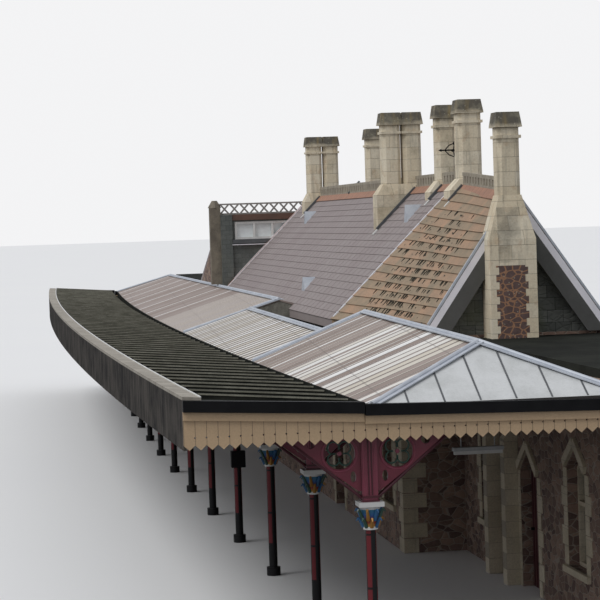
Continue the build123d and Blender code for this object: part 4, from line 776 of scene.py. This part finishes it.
@dataclass
class Piece:
    """A detail piece that is built up in one bmesh and then rides on the building."""

    name: str
    slot: str
    finishes: Sequence[bpy.types.Material]
    mesh: bmesh.types.BMesh = field(default_factory=bmesh.new)

    @staticmethod
    def _paint(verts: Iterable[bmesh.types.BMVert], index: int) -> None:
        """Give the faces of some new vertices one of the piece's finishes."""
        for vert in verts:
            for face in vert.link_faces:
                face.material_index = index

    def block(self, size: Sequence[float], place: Union[Matrix, Sequence[float]], index: int = 0) -> None:
        """Add a block.

        Args:
            size: its three lengths.
            place: where its middle goes, or a matrix that turns it as well.
            index: which of the piece's finishes it takes.
        """
        matrix = place if isinstance(place, Matrix) else Matrix.Translation(place)
        made = bmesh.ops.create_cube(self.mesh, size=1.0, matrix=matrix @ Matrix.Diagonal((*size, 1.0)))
        self._paint(made["verts"], index)

    def strip(self, start: Vector, end: Vector, width: float, thickness: float, up: Vector = UP,
              index: int = 0) -> None:
        """Lay a straight strip between two points, standing on the surface that they lie in."""
        first = (end - start).normalized()
        third = (up - first * up.dot(first)).normalized()
        turn = Matrix((first, third.cross(first), third)).transposed().to_4x4()
        middle = (start + end) / 2 + third * thickness / 2
        self.block(((end - start).length, width, thickness), Matrix.Translation(middle) @ turn, index)

    def rod(self, start: Vector, end: Vector, radius: float, index: int = 0, sides: int = 8,
            end_radius: Optional[float] = None) -> None:
        """Add a round rod or cone between two points."""
        axis = end - start
        turn = axis.to_track_quat("Z", "Y").to_matrix().to_4x4()
        made = bmesh.ops.create_cone(self.mesh, cap_ends=True, segments=sides, radius1=radius,
                                     radius2=radius if end_radius is None else end_radius, depth=axis.length,
                                     matrix=Matrix.Translation((start + end) / 2) @ turn)
        self._paint(made["verts"], index)

    def plate(self, outline: Sequence[tuple[float, float]], y: float, thickness: float) -> None:
        """Add an upright plate across the canopy.

        Args:
            outline: its corners' real X and Z in millimetres.
            y: the place of its near face.
            thickness: how far it goes along the building.
        """
        face = self.mesh.faces.new([self.mesh.verts.new((mm(x), y, mm(z))) for x, z in outline])
        made = bmesh.ops.extrude_face_region(self.mesh, geom=[face])["geom"]
        verts = [item for item in made if isinstance(item, bmesh.types.BMVert)]
        bmesh.ops.translate(self.mesh, verts=verts, vec=(0, thickness, 0))
        bmesh.ops.recalc_face_normals(self.mesh, faces=self.mesh.faces[:])

    def close(self, bevel: float = 0.0) -> None:
        """Turn the bmesh into an object that rides on the building, with its edges softened if asked."""
        data = bpy.data.meshes.new(self.name)
        for finish in self.finishes:
            data.materials.append(finish)
        if bevel:
            bmesh.ops.bevel(self.mesh, geom=self.mesh.edges[:], offset=bevel, segments=1, profile=0.5,
                            affect="EDGES", material=-1)
        self.mesh.to_mesh(data)
        self.mesh.free()
        made = bpy.data.objects.new(self.name, data)
        bpy.context.scene.collection.objects.link(made)
        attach(made, "root")
        log.info("%s: %d faces", self.name, len(data.polygons))


@dataclass
class Trim:
    """A group of detail pieces that take their finishes from the palette."""

    palette: Palette

    def piece(self, name: str, slot: str, *finishes: str) -> Piece:
        """Start a piece with some of the palette's finishes."""
        return Piece(name, slot, self.palette.pick(*finishes))


@dataclass
class SlopeCourses(Trim):
    """The slates or tiles of one length of roof, laid in overlapping courses that follow its slopes.

    The gap is a share of a tile's width, and ragged a share of a row. Nothing is laid below foot.
    """

    name: str
    slot: str
    finishes: Sequence[str]
    start: float
    end: float
    rows: int
    width: float
    thickness: float
    foot: float = 0.0
    ragged: float = 0.0
    gap: float = 0.008
    overlap: float = 0.06

    def build(self) -> None:
        """Lay every course on both slopes."""
        piece = self.piece(self.name, self.slot, *self.finishes)
        count = round((self.end - self.start) / self.width)
        step = (self.end - self.start) / count
        for side in (-1, 1):
            for row in range(self.rows):
                offset = step / 2 if row % 2 else 0.0
                for n in range(count + row % 2):
                    first = max(self.start + n * step - offset, self.start)
                    last = min(self.start + (n + 1) * step - offset, self.end)
                    self._tile(piece, side, row, first, last, n)
        piece.close()

    def _tile(self, piece: Piece, side: int, row: int, first: float, last: float, number: int) -> None:
        """Lay one tile, whose four corners lie on the slope, with its tail lifted."""
        slip = self.ragged * math.sin(row * 7.3 + number * 12.9)
        corners = []
        for y in (first + self.width * self.gap, last - self.width * self.gap):
            top, foot = roof_line(y, side)
            rise = slope_up(y, side) * self.thickness
            for share, lift in ((row, 0.1), (row + 1.0 + self.overlap + slip, 1.1)):
                corners.append(top + (foot - top) * min(share / self.rows, 1.0) + rise * lift)
                corners.append(corners[-1] + rise)
        for corner in corners:
            corner.x = min(corner.x, CAD_BOX[1][0] - mm(1))
        if corners[2].z < self.foot:
            return
        verts = [piece.mesh.verts.new(corner) for corner in corners]
        index = int((math.sin(row * 3.1 + number * 5.7) + 1) * 0.4999 * len(self.finishes))
        for loop in ((0, 1, 3, 2), (4, 6, 7, 5), (1, 5, 7, 3), (0, 2, 6, 4), (2, 3, 7, 6), (0, 4, 5, 1)):
            face = piece.mesh.faces.new([verts[i] for i in (loop if side > 0 else loop[::-1])])
            face.material_index = index


@dataclass
class RoofTrim(Trim):
    """The lead strips, ridge tiles, chimney flashings and moss on the hall's roofs."""

    ridge_width: float = mm(230)
    flashing_gap: float = mm(30)
    tip_length: float = mm(170)
    moss_first_row: int = 3
    moss_places: int = 110
    moss_start: float = BROWN_START + mm(60)
    moss_foot: float = mm(4420)
    moss_length: tuple[float, float] = (mm(90), mm(190))

    def build(self) -> None:
        """Make each kind of trim."""
        self._strips()
        self._ridge()
        self._flashings()
        self._moss()

    def _strips(self) -> None:
        """Lay the pale strips down the slopes where the roofs meet and at both verges."""
        piece = self.piece("roof_lead_strips", "lead", "sheet_lead", "white_verge", "red_ridge_clay")
        # Each strip's place, width, thickness and finish
        strips = ((GREY_START, 120, 30, 0), (GREY_START - mm(70), 50, 44, 1), (BROWN_START + mm(25), 60, 44, 0),
                  (HALL_END - mm(40), 70, 30, 1), (HALL_END - mm(190), 230, 20, 2), (HALL_END - mm(330), 50, 30, 1))
        for y, width, thickness, index in strips:
            for side in (-1, 1):
                top, foot = roof_line(y, side)
                lift = slope_up(y, side) * mm(12)
                foot = top + (foot - top) * (0.95 if y < TWIST_START else 0.985)
                piece.strip(top + lift, foot + lift, mm(width), mm(thickness), slope_up(y, side), index)
        piece.close()

    def _ridge(self) -> None:
        """Lay the red angle tiles along both sides of the ridge."""
        piece = self.piece("ridge_angle_tiles", "terracotta", "red_ridge_clay")
        places = (BROWN_START + mm(20), TWIST_START, GREY_START, HALL_END)
        for start, end in zip(places, places[1:]):
            for side in (-1, 1):
                (first, _), (last, _) = roof_line(start, side), roof_line(end, side)
                up = slope_up((start + end) / 2, side)
                down = up.cross(Vector((0, side, 0)))
                shift = (down if down.z < 0 else -down) * self.ridge_width / 2 + up * mm(24)
                piece.strip(first + shift, last + shift, self.ridge_width, mm(22), up)
        piece.close()

    def _flashings(self) -> None:
        """Add a dark lead strip beside each chimney's near foot, with a white tip below."""
        piece = self.piece("chimney_flashings", "lead", "dull_lead", "white_paint")
        for x, y, width, depth in CHIMNEY_FEET:
            top, foot = roof_line(y - depth / 2 - self.flashing_gap, -1)
            across = foot - top
            up = slope_up(y, -1)
            high, low = (top + across * ((top.x - place) / -across.x)
                         for place in (min(x + width / 2, top.x - mm(20)), x - width / 2))
            piece.strip(high + up * mm(30), low + up * mm(30), mm(70), mm(60), up)
            tip = low + across.normalized() * self.tip_length
            piece.strip(low + up * mm(26), tip + up * mm(26), mm(90), mm(25), up, 1)
        piece.close()

    def _moss(self) -> None:
        """Scatter black moss along the tails and joints of the brown tiles, thickest in the middle."""
        piece = self.piece("tile_moss", "brown_tile", "moss_black")
        least, more = self.moss_length
        for row in range(self.moss_first_row, BROWN_ROWS):
            for n in range(self.moss_places):
                chance = (math.sin(row * 12.9898 + n * 78.233) * 43758.5453) % 1.0
                share = (n + chance) / self.moss_places
                middle = 1.0 - abs(share - 0.5 + (row - 10) * 0.012) * 2.3
                clump = 0.65 + 0.6 * math.sin(n * 0.47 + row * 1.3)
                if (chance * 17.0) % 1.0 > clump * middle * min(1.0, 0.25 + row * 0.06):
                    continue
                y = self.moss_start + share * (GREY_START - self.moss_start)
                top, foot = roof_line(y, -1)
                up = slope_up(y, -1)
                place = top + (foot - top) * ((row + 1.0 - 0.55 * ((chance * 31.0) % 1.0)) / BROWN_ROWS)
                if place.z < self.moss_foot:
                    continue
                length = least + more * ((chance * 7.0) % 1.0)
                start = place + up * mm(12)
                if n % 3 == 0:
                    along = (roof_line(y + mm(100), -1)[0] - top).normalized()
                    piece.strip(start, start + along * length * 1.2, mm(40), mm(34), up)
                else:
                    piece.strip(start - (foot - top).normalized() * length, start, mm(44), mm(34), up)
        piece.close()


@dataclass
class CanopyTrim(Trim):
    """Lead on the canopy's ridges, hips and verges, pale edges on its deck, and cheeks between its roofs."""

    gutter_right: float = VALLEY + mm(130)
    low: float = mm(3970)
    lead_width: float = mm(230)
    roll_radius: float = mm(38)
    verge_inset: float = mm(70)
    hip_bars: Sequence[float] = (0.14, 0.28, 0.42, 0.56, 0.70, 0.84)
    deck_top: float = mm(4170)
    deck_left: float = OUTER_EDGE + mm(280)
    deck_right: float = VALLEY - mm(130)
    roll_pitch: float = mm(914)

    def build(self) -> None:
        """Make each kind of trim."""
        self._lead()
        self._hip_bars()
        self._deck_edges()
        self._cheeks()

    def _gutter_end(self, y: float) -> Vector:
        """Find where a roof's edge meets the valley gutter."""
        return Vector((curve_x(self.gutter_right, y), y, self.low))

    def _lead(self) -> None:
        """Lay flat lead with a round roll along each ridge, hip and verge."""
        piece = self.piece("canopy_leadwork", "lead", "sheet_lead")
        near, mid, far = CANOPY_RIDGES
        start, end = CANOPY_START + mm(30), CANOPY_END - mm(30)
        left, right = curve_x(self.gutter_right, CANOPY_START), curve_x(self.gutter_right, CANOPY_END)
        lines = [near, mid, far,
                 (near[0], Vector((left, start, self.low))), (near[0], Vector((WING_FRONT, start, self.low))),
                 (far[1], Vector((right, end, self.low))), (far[1], Vector((FRONT, end, self.low)))]
        for ridge, y in ((near[1], near[1].y - self.verge_inset), (far[0], far[0].y + self.verge_inset)):
            lines.append((Vector((ridge.x, y, ridge.z)), self._gutter_end(y)))
        for first, last in lines:
            piece.strip(first - UP * mm(6), last - UP * mm(6), self.lead_width, mm(18))
            piece.rod(first + UP * mm(20), last + UP * mm(20), self.roll_radius, 0, 10)
        piece.close()

    def _hip_bars(self) -> None:
        """Lay the thin bars that hold the pale panels of the near hip."""
        piece = self.piece("hip_bars", "lead", "dull_lead")
        near = CANOPY_RIDGES[0][0]
        left, right = curve_x(self.gutter_right, CANOPY_START), WING_FRONT
        for share in self.hip_bars:
            foot = Vector((left + (right - left) * share, CANOPY_START + mm(20), self.low))
            reach = 0.93 * min((foot.x - left) / (near.x - left), (right - foot.x) / (right - near.x), 1.0)
            head = Vector((foot.x, foot.y + (near.y - foot.y) * reach, self.low + (near.z - self.low) * reach))
            piece.strip(foot, head, mm(26), mm(16), Vector((0, -0.4, 1)))
        piece.close()

    def _deck_point(self, x: float, y: float, shift: float, lift: float) -> Vector:
        """Find a point over the sloping deck, which falls towards the valley gutter."""
        fall = mm(200) / (self.deck_right - OUTER_EDGE)
        return Vector((curve_x(x, y), y + shift, self.deck_top + lift - (x - OUTER_EDGE) * fall))

    def _deck_edges(self) -> None:
        """Lay a thin pale strip along the top of each roll, a painted highlight where light catches it, and a white
        one beside the capping.
        """
        piece = self.piece("roll_highlights", "weathered_felt", "roll_highlight", "white_paint")
        count = int((CANOPY_END - CANOPY_START) // self.roll_pitch)
        for n in range(count):
            y = (CANOPY_START + CANOPY_END) / 2 + (n - (count - 1) / 2) * self.roll_pitch
            # A pale strip along each roll's top, as painted highlight
            first, last = (self._deck_point(x, y, -mm(50), mm(56))
                           for x in (self.deck_left + mm(10), self.deck_right - mm(10)))
            piece.strip(first, last, mm(12), mm(24))
        steps = 2 * BAY_COUNT
        places = (CANOPY_START + (CANOPY_END - CANOPY_START) * n / steps for n in range(steps + 1))
        edge = [Vector((curve_x(self.deck_left - mm(12), y), y, self._deck_point(self.deck_left, y, 0, mm(50)).z))
                for y in places]
        for first, last in zip(edge, edge[1:]):
            piece.strip(first, last, mm(24), mm(16), index=1)
        piece.close()

    def _cheeks(self) -> None:
        """Close the steps between the three inner roofs, and face the wall above the middle one."""
        piece = self.piece("canopy_cheeks", "lead", "mottled_flat")
        piece.plate(((-5640, 3962), (-3950, 4440), (-2590, 3760), (-2590, 4478), (-3200, 4668)), mm(-1372), mm(20))
        piece.plate(((-5500, 3962), (-3950, 4400), (-2590, 3760), (-2590, 4540), (-3230, 4800)), mm(-13748), mm(20))
        piece.block(mm3(24, 12300, 640), mm3(-2574, -7560, 4080))
        piece.close()


@dataclass
class ClerestoryTrim(Trim):
    """The rail, sill and corner pier of the clerestory, which stands beyond the grey roof."""

    pier_half: float = mm(170)
    pier_foot: float = mm(4730)
    pier_top: float = mm(7180)

    def build(self) -> None:
        """Make the trim."""
        piece = self.piece("clerestory_trim", "limestone", "brown_rail", "dull_lead", "old_pier_stone",
                           "white_verge")
        # Each rail's length, depth, height, middle X, middle Z and finish
        for length, depth, height, x, z, index in ((5460, 60, 190, -170, 6855, 0), (3800, 90, 130, -650, 6085, 1),
                                                   (3800, 100, 25, -650, 5980, 3)):
            piece.block(mm3(length, depth, height), (mm(x), HALL_END - mm(depth / 2), mm(z)), index)
        half = self.pier_half
        top = Vector((mm(-3060), HALL_END + mm(230), self.pier_top))
        height = self.pier_top - self.pier_foot
        piece.block((2 * half, 2 * half, height), top - UP * height / 2, 2)
        piece.rod(top, top + UP * mm(230), half * 1.3, 2, 4, half * 0.5)
        piece.close()


@dataclass
class Fittings(Trim):
    """The finial's arms, the box on the fourth column, the lamp under the near canopy and the doors' ironwork."""

    leaf_depth: float = mm(195)

    def build(self) -> None:
        """Make every fitting."""
        self._column_box()
        self._lamp()
        self._doors()
        self._finial()

    def _column_box(self) -> None:
        """Hang the black box on the near side of the fourth column."""
        piece = self.piece("column_box", "black_gutter", "gutter_black")
        piece.block(mm3(300, 160, 350), columns()[3] + mm3(0, -155, 1765))
        piece.close(mm(8))

    def _lamp(self) -> None:
        """Hang the long lamp from the tie beam at the second column."""
        piece = self.piece("canopy_lamp", "dark_iron", "grey_metal", "white_paint")
        bay = Vector((0, FIRST_COLUMN + BAY, 0))
        piece.block(mm3(880, 150, 60), bay + mm3(-2465, 0, 2715))
        piece.block(mm3(840, 110, 60), bay + mm3(-2465, 0, 2655), 1)
        for x in (-2760, -2170):
            piece.rod(bay + mm3(x, 0, 2740), bay + mm3(x, 0, 3565), mm(9))
        piece.close()

    def _doors(self) -> None:
        """Add cover strips, hinges and a handle to each door."""
        piece = self.piece("door_furniture", "dark_timber", "door_paint", "gutter_black")
        for face, side, doors, _ in opening_rows():
            for centre in doors:
                leaf = Vector((face - side * self.leaf_depth, centre, 0))
                for n in range(-3, 4):
                    tall = 2060 if abs(n) == 3 else 2160
                    piece.block(mm3(14, 28, tall), leaf + mm3(side * 5, n * 165, tall / 2 + 20))
                for z in (450, 1750):
                    piece.block(mm3(16, 760, 55), leaf + mm3(side * 9, -190, z), 1)
                handle = leaf + mm3(0, 470, 1050)
                piece.rod(handle, handle + mm3(side * 60, 0, 0), mm(28), 1, 12)
        piece.close()

    def _finial(self) -> None:
        """Give the ridge finial its crossed arms, with a curl above and below each one."""
        piece = self.piece("finial_arms", "black_gutter", "gutter_black")
        centre = Vector((0, GREY_START, mm(8180)))
        for step in range(4):
            out = Matrix.Rotation(math.tau * step / 4, 3, "Z") @ Vector((1, 0, 0))
            tip = centre + out * mm(330)
            piece.rod(centre, tip, mm(17))
            piece.rod(tip, tip + out * mm(70), mm(34), end_radius=mm(4))
            for rise in (-1, 1):
                points = [centre + out * mm(along) + UP * mm(height * rise)
                          for along, height in ((40, 150), (150, 110), (240, 15))]
                for first, last in zip(points, points[1:]):
                    piece.rod(first, last, mm(12), 0, 6)
        piece.close()


@dataclass
class BracketTracery(Trim):
    """The cusped ring, raised edges and mouldings of each spandrel bracket and its post."""

    post: float = mm(220)
    flange: float = mm(60)
    ring_radius: float = mm(270)
    wall: float = mm(35)
    top: float = mm(3560)
    depth: float = mm(50)

    def build(self) -> None:
        """Make the tracery of every bracket."""
        piece = self.piece("bracket_tracery", "crimson_iron", "green_paint", "pink_paint", "dark_crimson")
        out = self.post / 2 + self.flange + self.ring_radius
        for column in columns():
            for side in (-1, 1):
                centre = column + Vector((side * out, 0, self.top - self.flange - self.ring_radius))
                self._quatrefoil(piece, centre)
                for face in (-1, 1):
                    shift = Vector((0, face * self.depth * 0.5, 0))
                    piece.rod(column + shift + mm3(side * 125, 0, 2560), column + shift + mm3(side * 1215, 0, 3455),
                              mm(24), 2)
                    self._arc(piece, centre + shift, self.ring_radius - mm(4), 0.0, math.tau, 20, mm(20), 1)
            self._post(piece, column)
        piece.close()

    def _post(self, piece: Piece, column: Vector) -> None:
        """Add the mouldings up the post and round its foot."""
        half = self.post / 2
        for face in (-half, half):
            for share, index in ((-0.62, 1), (-0.22, 2), (0.22, 2), (0.62, 1)):
                for along in ((share * half, face), (face, share * half)):
                    foot = column + Vector((*along, mm(2600)))
                    piece.rod(foot, foot + UP * mm(940), mm(14), index, 6)
        for z, grow in ((mm(2515), mm(50)), (mm(2575), mm(26))):
            piece.block((self.post + grow, self.post + grow, mm(34)), column + UP * z, 2)

    def _quatrefoil(self, piece: Piece, centre: Vector) -> None:
        """Add four lobes and a middle boss inside one ring."""
        inner = self.ring_radius - self.wall
        for k in range(4):
            angle = math.radians(45 + 90 * k)
            lobe = centre + Vector((math.cos(angle), 0, math.sin(angle))) * inner * 0.52
            self._arc(piece, lobe, inner * 0.40, angle - math.radians(150), math.radians(300), 8, mm(13), 0)
        boss = Vector((0, self.depth * 0.4, 0))
        piece.rod(centre - boss, centre + boss, mm(34), 1, 10)

    @staticmethod
    def _arc(piece: Piece, centre: Vector, radius: float, start: float, sweep: float, steps: int, bar: float,
             index: int) -> None:
        """Add short bars along an arc that stands across the building.

        Args:
            piece: the piece that they go in.
            centre: the arc's middle.
            radius: its radius.
            start: the angle that it starts from.
            sweep: how far it goes round.
            steps: how many bars it has.
            bar: the bars' radius.
            index: which of the piece's finishes they take.
        """
        angles = [start + sweep * n / steps for n in range(steps + 1)]
        points = [centre + Vector((math.cos(angle), 0, math.sin(angle))) * radius for angle in angles]
        for first, last in zip(points, points[1:]):
            piece.rod(first, last, bar, index, 6)


@dataclass
class CapitalLeaves(Trim):
    """Painted leaves round each capital's bell, with a white ring below."""

    shaft_top: float = mm(2100)
    height: float = mm(330)
    leaves: int = 8
    # Each tier's foot as a share of the height, its radius, and its leaves' share of the height
    tiers: Sequence[tuple[float, float, float]] = ((0.06, mm(100), 0.42), (0.38, mm(122), 0.50))

    def build(self) -> None:
        """Make the leaves of every capital."""
        piece = self.piece("capital_leaves", "column_iron", "gold_leaf_paint", "blue_paint", "green_paint",
                           "white_paint")
        for column in columns():
            neck = column + UP * self.shaft_top
            piece.rod(neck - UP * mm(20), neck + UP * mm(25), mm(112), 3, 20)
            for tier, (low, reach, tall) in enumerate(self.tiers):
                for k in range(self.leaves):
                    angle = math.tau * (k + 0.5 * tier) / self.leaves
                    out = Vector((math.cos(angle), math.sin(angle), 0))
                    foot = neck + UP * low * self.height + out * reach
                    tip = foot + out * mm(75) + UP * tall * self.height
                    piece.rod(foot, tip, mm(34), (k + tier) % 3, 6, mm(20))
                    piece.rod(tip, tip + out * mm(40) - UP * mm(45), mm(20), (k + tier) % 3, 6, mm(6))
        piece.close()


@dataclass
class Quoins(Trim):
    """Cream dressed stones at the corners and round the openings of the rubble walls."""

    proud: float = mm(14)
    height: float = mm(300)
    joint: float = 0.96
    corner_stone: tuple[float, float] = (mm(300), mm(480))
    jamb_stone: tuple[float, float] = (mm(210), mm(330))
    door: tuple[float, float] = (mm(1200), mm(2100))
    window: tuple[float, float] = (mm(1100), mm(1633))
    sill: float = mm(850)

    def build(self) -> None:
        """Lay all the quoins."""
        piece = self.piece("dressed_quoins", "limestone", "dressed_limestone")
        # Each corner's place, the top of its stones, and the way it points
        for x, y, top, side_x, side_y in ((WING_FRONT, NEAR_END, mm(4100), -1, -1),
                                          (FRONT, HALL_START, mm(4200), -1, -1), (FRONT, FAR_END, mm(4500), -1, 1),
                                          (BACK, NEAR_END, mm(4100), 1, -1), (BACK, FAR_END, mm(4500), 1, 1)):
            for row in range(int(top // self.height)):
                along_x, along_y = self.corner_stone[::-1] if row % 2 else self.corner_stone
                middle = (x - side_x * (along_x / 2 - self.proud), y - side_y * (along_y / 2 - self.proud),
                          (row + 0.5) * self.height)
                piece.block((along_x, along_y, self.height * self.joint), middle)
        for face, side, doors, windows in opening_rows():
            for centre in doors:
                self._jambs(piece, face, side, centre, 0.0, *self.door)
            for centre in windows:
                self._jambs(piece, face, side, centre, self.sill, *self.window)
                piece.block(mm3(90, 1500, 110), (face + side * mm(20), centre, self.sill - mm(55)))
        piece.close()

    def _jambs(self, piece: Piece, face: float, side: int, centre: float, bottom: float, width: float,
               tall: float) -> None:
        """Add long and short stones up both sides of one opening, and the stones of its pointed head.

        Args:
            piece: the piece that they go in.
            face: the wall's outer face.
            side: the way it faces, -1 or 1.
            centre: the opening's middle along the wall.
            bottom: the height that it starts from.
            width: its width.
            tall: its height without the pointed head.
        """
        rows = max(1, int(tall // self.height))
        step = tall / rows
        rise = width / 3
        for hand in (-1, 1):
            for row in range(rows):
                long = self.jamb_stone[row % 2]
                middle = (face + side * self.proud / 2, centre + hand * (width / 2 + long / 2),
                          bottom + (row + 0.5) * step)
                piece.block((self.proud, long, step * self.joint), middle)
            turn = Matrix.Rotation(-hand * math.atan2(rise, width / 2), 4, "X")
            middle = (face + side * mm(24), centre + hand * (width / 4 + mm(50)), bottom + tall + rise / 2 + mm(95))
            piece.block((mm(70), math.hypot(width / 2, rise) * 1.12, mm(150)), Matrix.Translation(middle) @ turn)


def opening_rows() -> list[tuple[float, int, list[float], list[float]]]:
    """List the long walls with their openings.

    Returns:
        For each wall, its outer face's X, the side it faces, its doors' places and its windows' places.
    """
    def along(start: float, end: float, *shares: float) -> list[float]:
        return [start + (end - start) * share for share in shares]

    hall_doors = along(HALL_START, HALL_END, *(n / 9 for n in (2.5, 6.5)))
    hall_windows = along(HALL_START, HALL_END, *(n / 9 for n in (0.5, 1.5, 3.5, 4.5, 5.5, 7.5, 8.5)))
    near_doors, near_windows = along(NEAR_END, HALL_START, 0.5), along(NEAR_END, HALL_START, 0.2, 0.8)
    far_doors, far_windows = along(FAR_START, FAR_END, 0.5), along(FAR_START, FAR_END, 0.18, 0.82)
    block_doors = along(HALL_END, FAR_START, 0.5)
    return [(FRONT, -1, hall_doors, hall_windows), (BACK, 1, hall_doors, hall_windows),
            (WING_FRONT, -1, near_doors, near_windows), (BACK, 1, near_doors, near_windows),
            (FRONT, -1, far_doors, far_windows), (BACK, 1, far_doors, far_windows),
            (FRONT - mm(340), -1, block_doors, []), (BACK, 1, block_doors, [])]


@dataclass
class Studio:
    """The pale floor, the soft light and the photograph's camera."""

    eye: Sequence[float] = (-5.5087, -28.6628, 3.37)
    pitch: float = 0.036299
    roll: float = -0.032469
    yaw: float = 0.148072
    lens: float = 133.87
    sensor_width: float = 36.0
    clip_end: float = 500.0
    floor_shades: tuple[Colour, Colour] = ((0.80, 0.80, 0.79), (0.78, 0.78, 0.78))
    bounce_shade: Colour = (0.22, 0.22, 0.22)
    floor_size: float = 400.0
    floor_height: float = -0.002
    sky: Colour = (0.93, 0.95, 1.0)
    sky_strength: float = 0.62
    backdrop: Colour = (0.90, 0.90, 0.91)
    sun_strength: float = 1.5
    sun_width: float = math.radians(35)
    sun_turn: Sequence[float] = (math.radians(28), math.radians(-26), math.radians(-25))

    def build(self) -> None:
        """Set up the floor, world, lamps and camera."""
        self._floor()
        self._world()
        self._sun()
        self._camera()
        bpy.context.scene.view_settings.view_transform = "Standard"
        log.info("set the stage")

    def _floor(self) -> None:
        """Lay the floor under the building, paler to the camera than to the light that it returns."""
        mesh = bmesh.new()
        bmesh.ops.create_grid(mesh, x_segments=1, y_segments=1, size=self.floor_size)
        data = bpy.data.meshes.new("studio_floor")
        mesh.to_mesh(data)
        mesh.free()
        graph = Graph("studio_floor_paint")
        data.materials.append(graph.finish(graph.mix(graph.noise(0.2, 2.0), *self.floor_shades), 0.9))
        seen = graph.node("ShaderNodeLightPath", {}, {}, "Is Camera Ray")
        bounce = graph.node("ShaderNodeBsdfDiffuse", {}, {"Color": self.bounce_shade})
        pale = Socket(graph, graph.shader.outputs[0])
        mixed = graph.node("ShaderNodeMixShader", {}, {0: seen, 1: bounce, 2: pale})
        graph.plug(graph.tree.nodes["Material Output"].inputs["Surface"], mixed)
        floor = bpy.data.objects.new("studio_floor", data)
        floor.location = (0, 0, self.floor_height)
        bpy.context.scene.collection.objects.link(floor)

    def _world(self) -> None:
        """Light the scene evenly from a pale sky that the camera sees as white."""
        world = bpy.data.worlds.new("soft_sky")
        world.use_nodes = True
        nodes, links = world.node_tree.nodes, world.node_tree.links
        path, blend = nodes.new("ShaderNodeLightPath"), nodes.new("ShaderNodeMixShader")
        links.new(path.outputs["Is Camera Ray"], blend.inputs[0])
        shades = ((nodes["Background"], self.sky, self.sky_strength),
                  (nodes.new("ShaderNodeBackground"), self.backdrop, 1.0))
        for number, (background, colour, strength) in enumerate(shades, 1):
            background.inputs["Color"].default_value = (*colour, 1.0)
            background.inputs["Strength"].default_value = strength
            links.new(background.outputs[0], blend.inputs[number])
        links.new(blend.outputs[0], nodes["World Output"].inputs["Surface"])
        bpy.context.scene.world = world

    def _sun(self) -> None:
        """Add one broad soft sun."""
        lamp = bpy.data.lights.new("soft_sun", "SUN")
        lamp.energy = self.sun_strength
        lamp.angle = self.sun_width
        sun = bpy.data.objects.new("soft_sun", lamp)
        sun.rotation_euler = self.sun_turn
        bpy.context.scene.collection.objects.link(sun)

    def _camera(self) -> None:
        """Put the camera where the photograph was taken from."""
        forward = Vector((math.sin(self.yaw), math.cos(self.yaw), 0))
        right = Vector((math.cos(self.yaw), -math.sin(self.yaw), 0))
        ahead = forward * math.cos(self.pitch) - UP * math.sin(self.pitch)
        above = UP * math.cos(self.pitch) + forward * math.sin(self.pitch)
        side = right * math.cos(self.roll) + above * math.sin(self.roll)
        top = above * math.cos(self.roll) - right * math.sin(self.roll)
        view = bpy.data.cameras.new("photo_view")
        view.lens = self.lens
        view.sensor_width = self.sensor_width
        view.clip_end = self.clip_end
        camera = bpy.data.objects.new("photo_view", view)
        camera.matrix_world = Matrix.Translation(self.eye) @ Matrix((side, top, -ahead)).transposed().to_4x4()
        bpy.context.scene.collection.objects.link(camera)
        bpy.context.scene.camera = camera


def main() -> None:
    """Build the dressed station, piece by piece."""
    logging.basicConfig(level=logging.INFO, format="%(name)s: %(message)s")
    palette = Palette()
    dress_nodes(palette)
    SlopeCourses(palette, "grey_slate_courses", "grey_slate", ["grey_roof_slates"], GREY_START, HALL_END, rows=19,
                 width=mm(600), thickness=mm(14), gap=0.026).build()
    SlopeCourses(palette, "brown_tile_courses", "brown_tile", ["orange_tile", "ochre_tile", "ochre_tile"],
                 BROWN_START, GREY_START, rows=BROWN_ROWS, width=mm(300), thickness=mm(26), foot=mm(4330),
                 ragged=0.04).build()
    for trim in (RoofTrim, CanopyTrim, ClerestoryTrim, BracketTracery, CapitalLeaves, Fittings, Quoins):
        trim(palette).build()
    Studio().build()


if __name__ == "__main__":
    main()
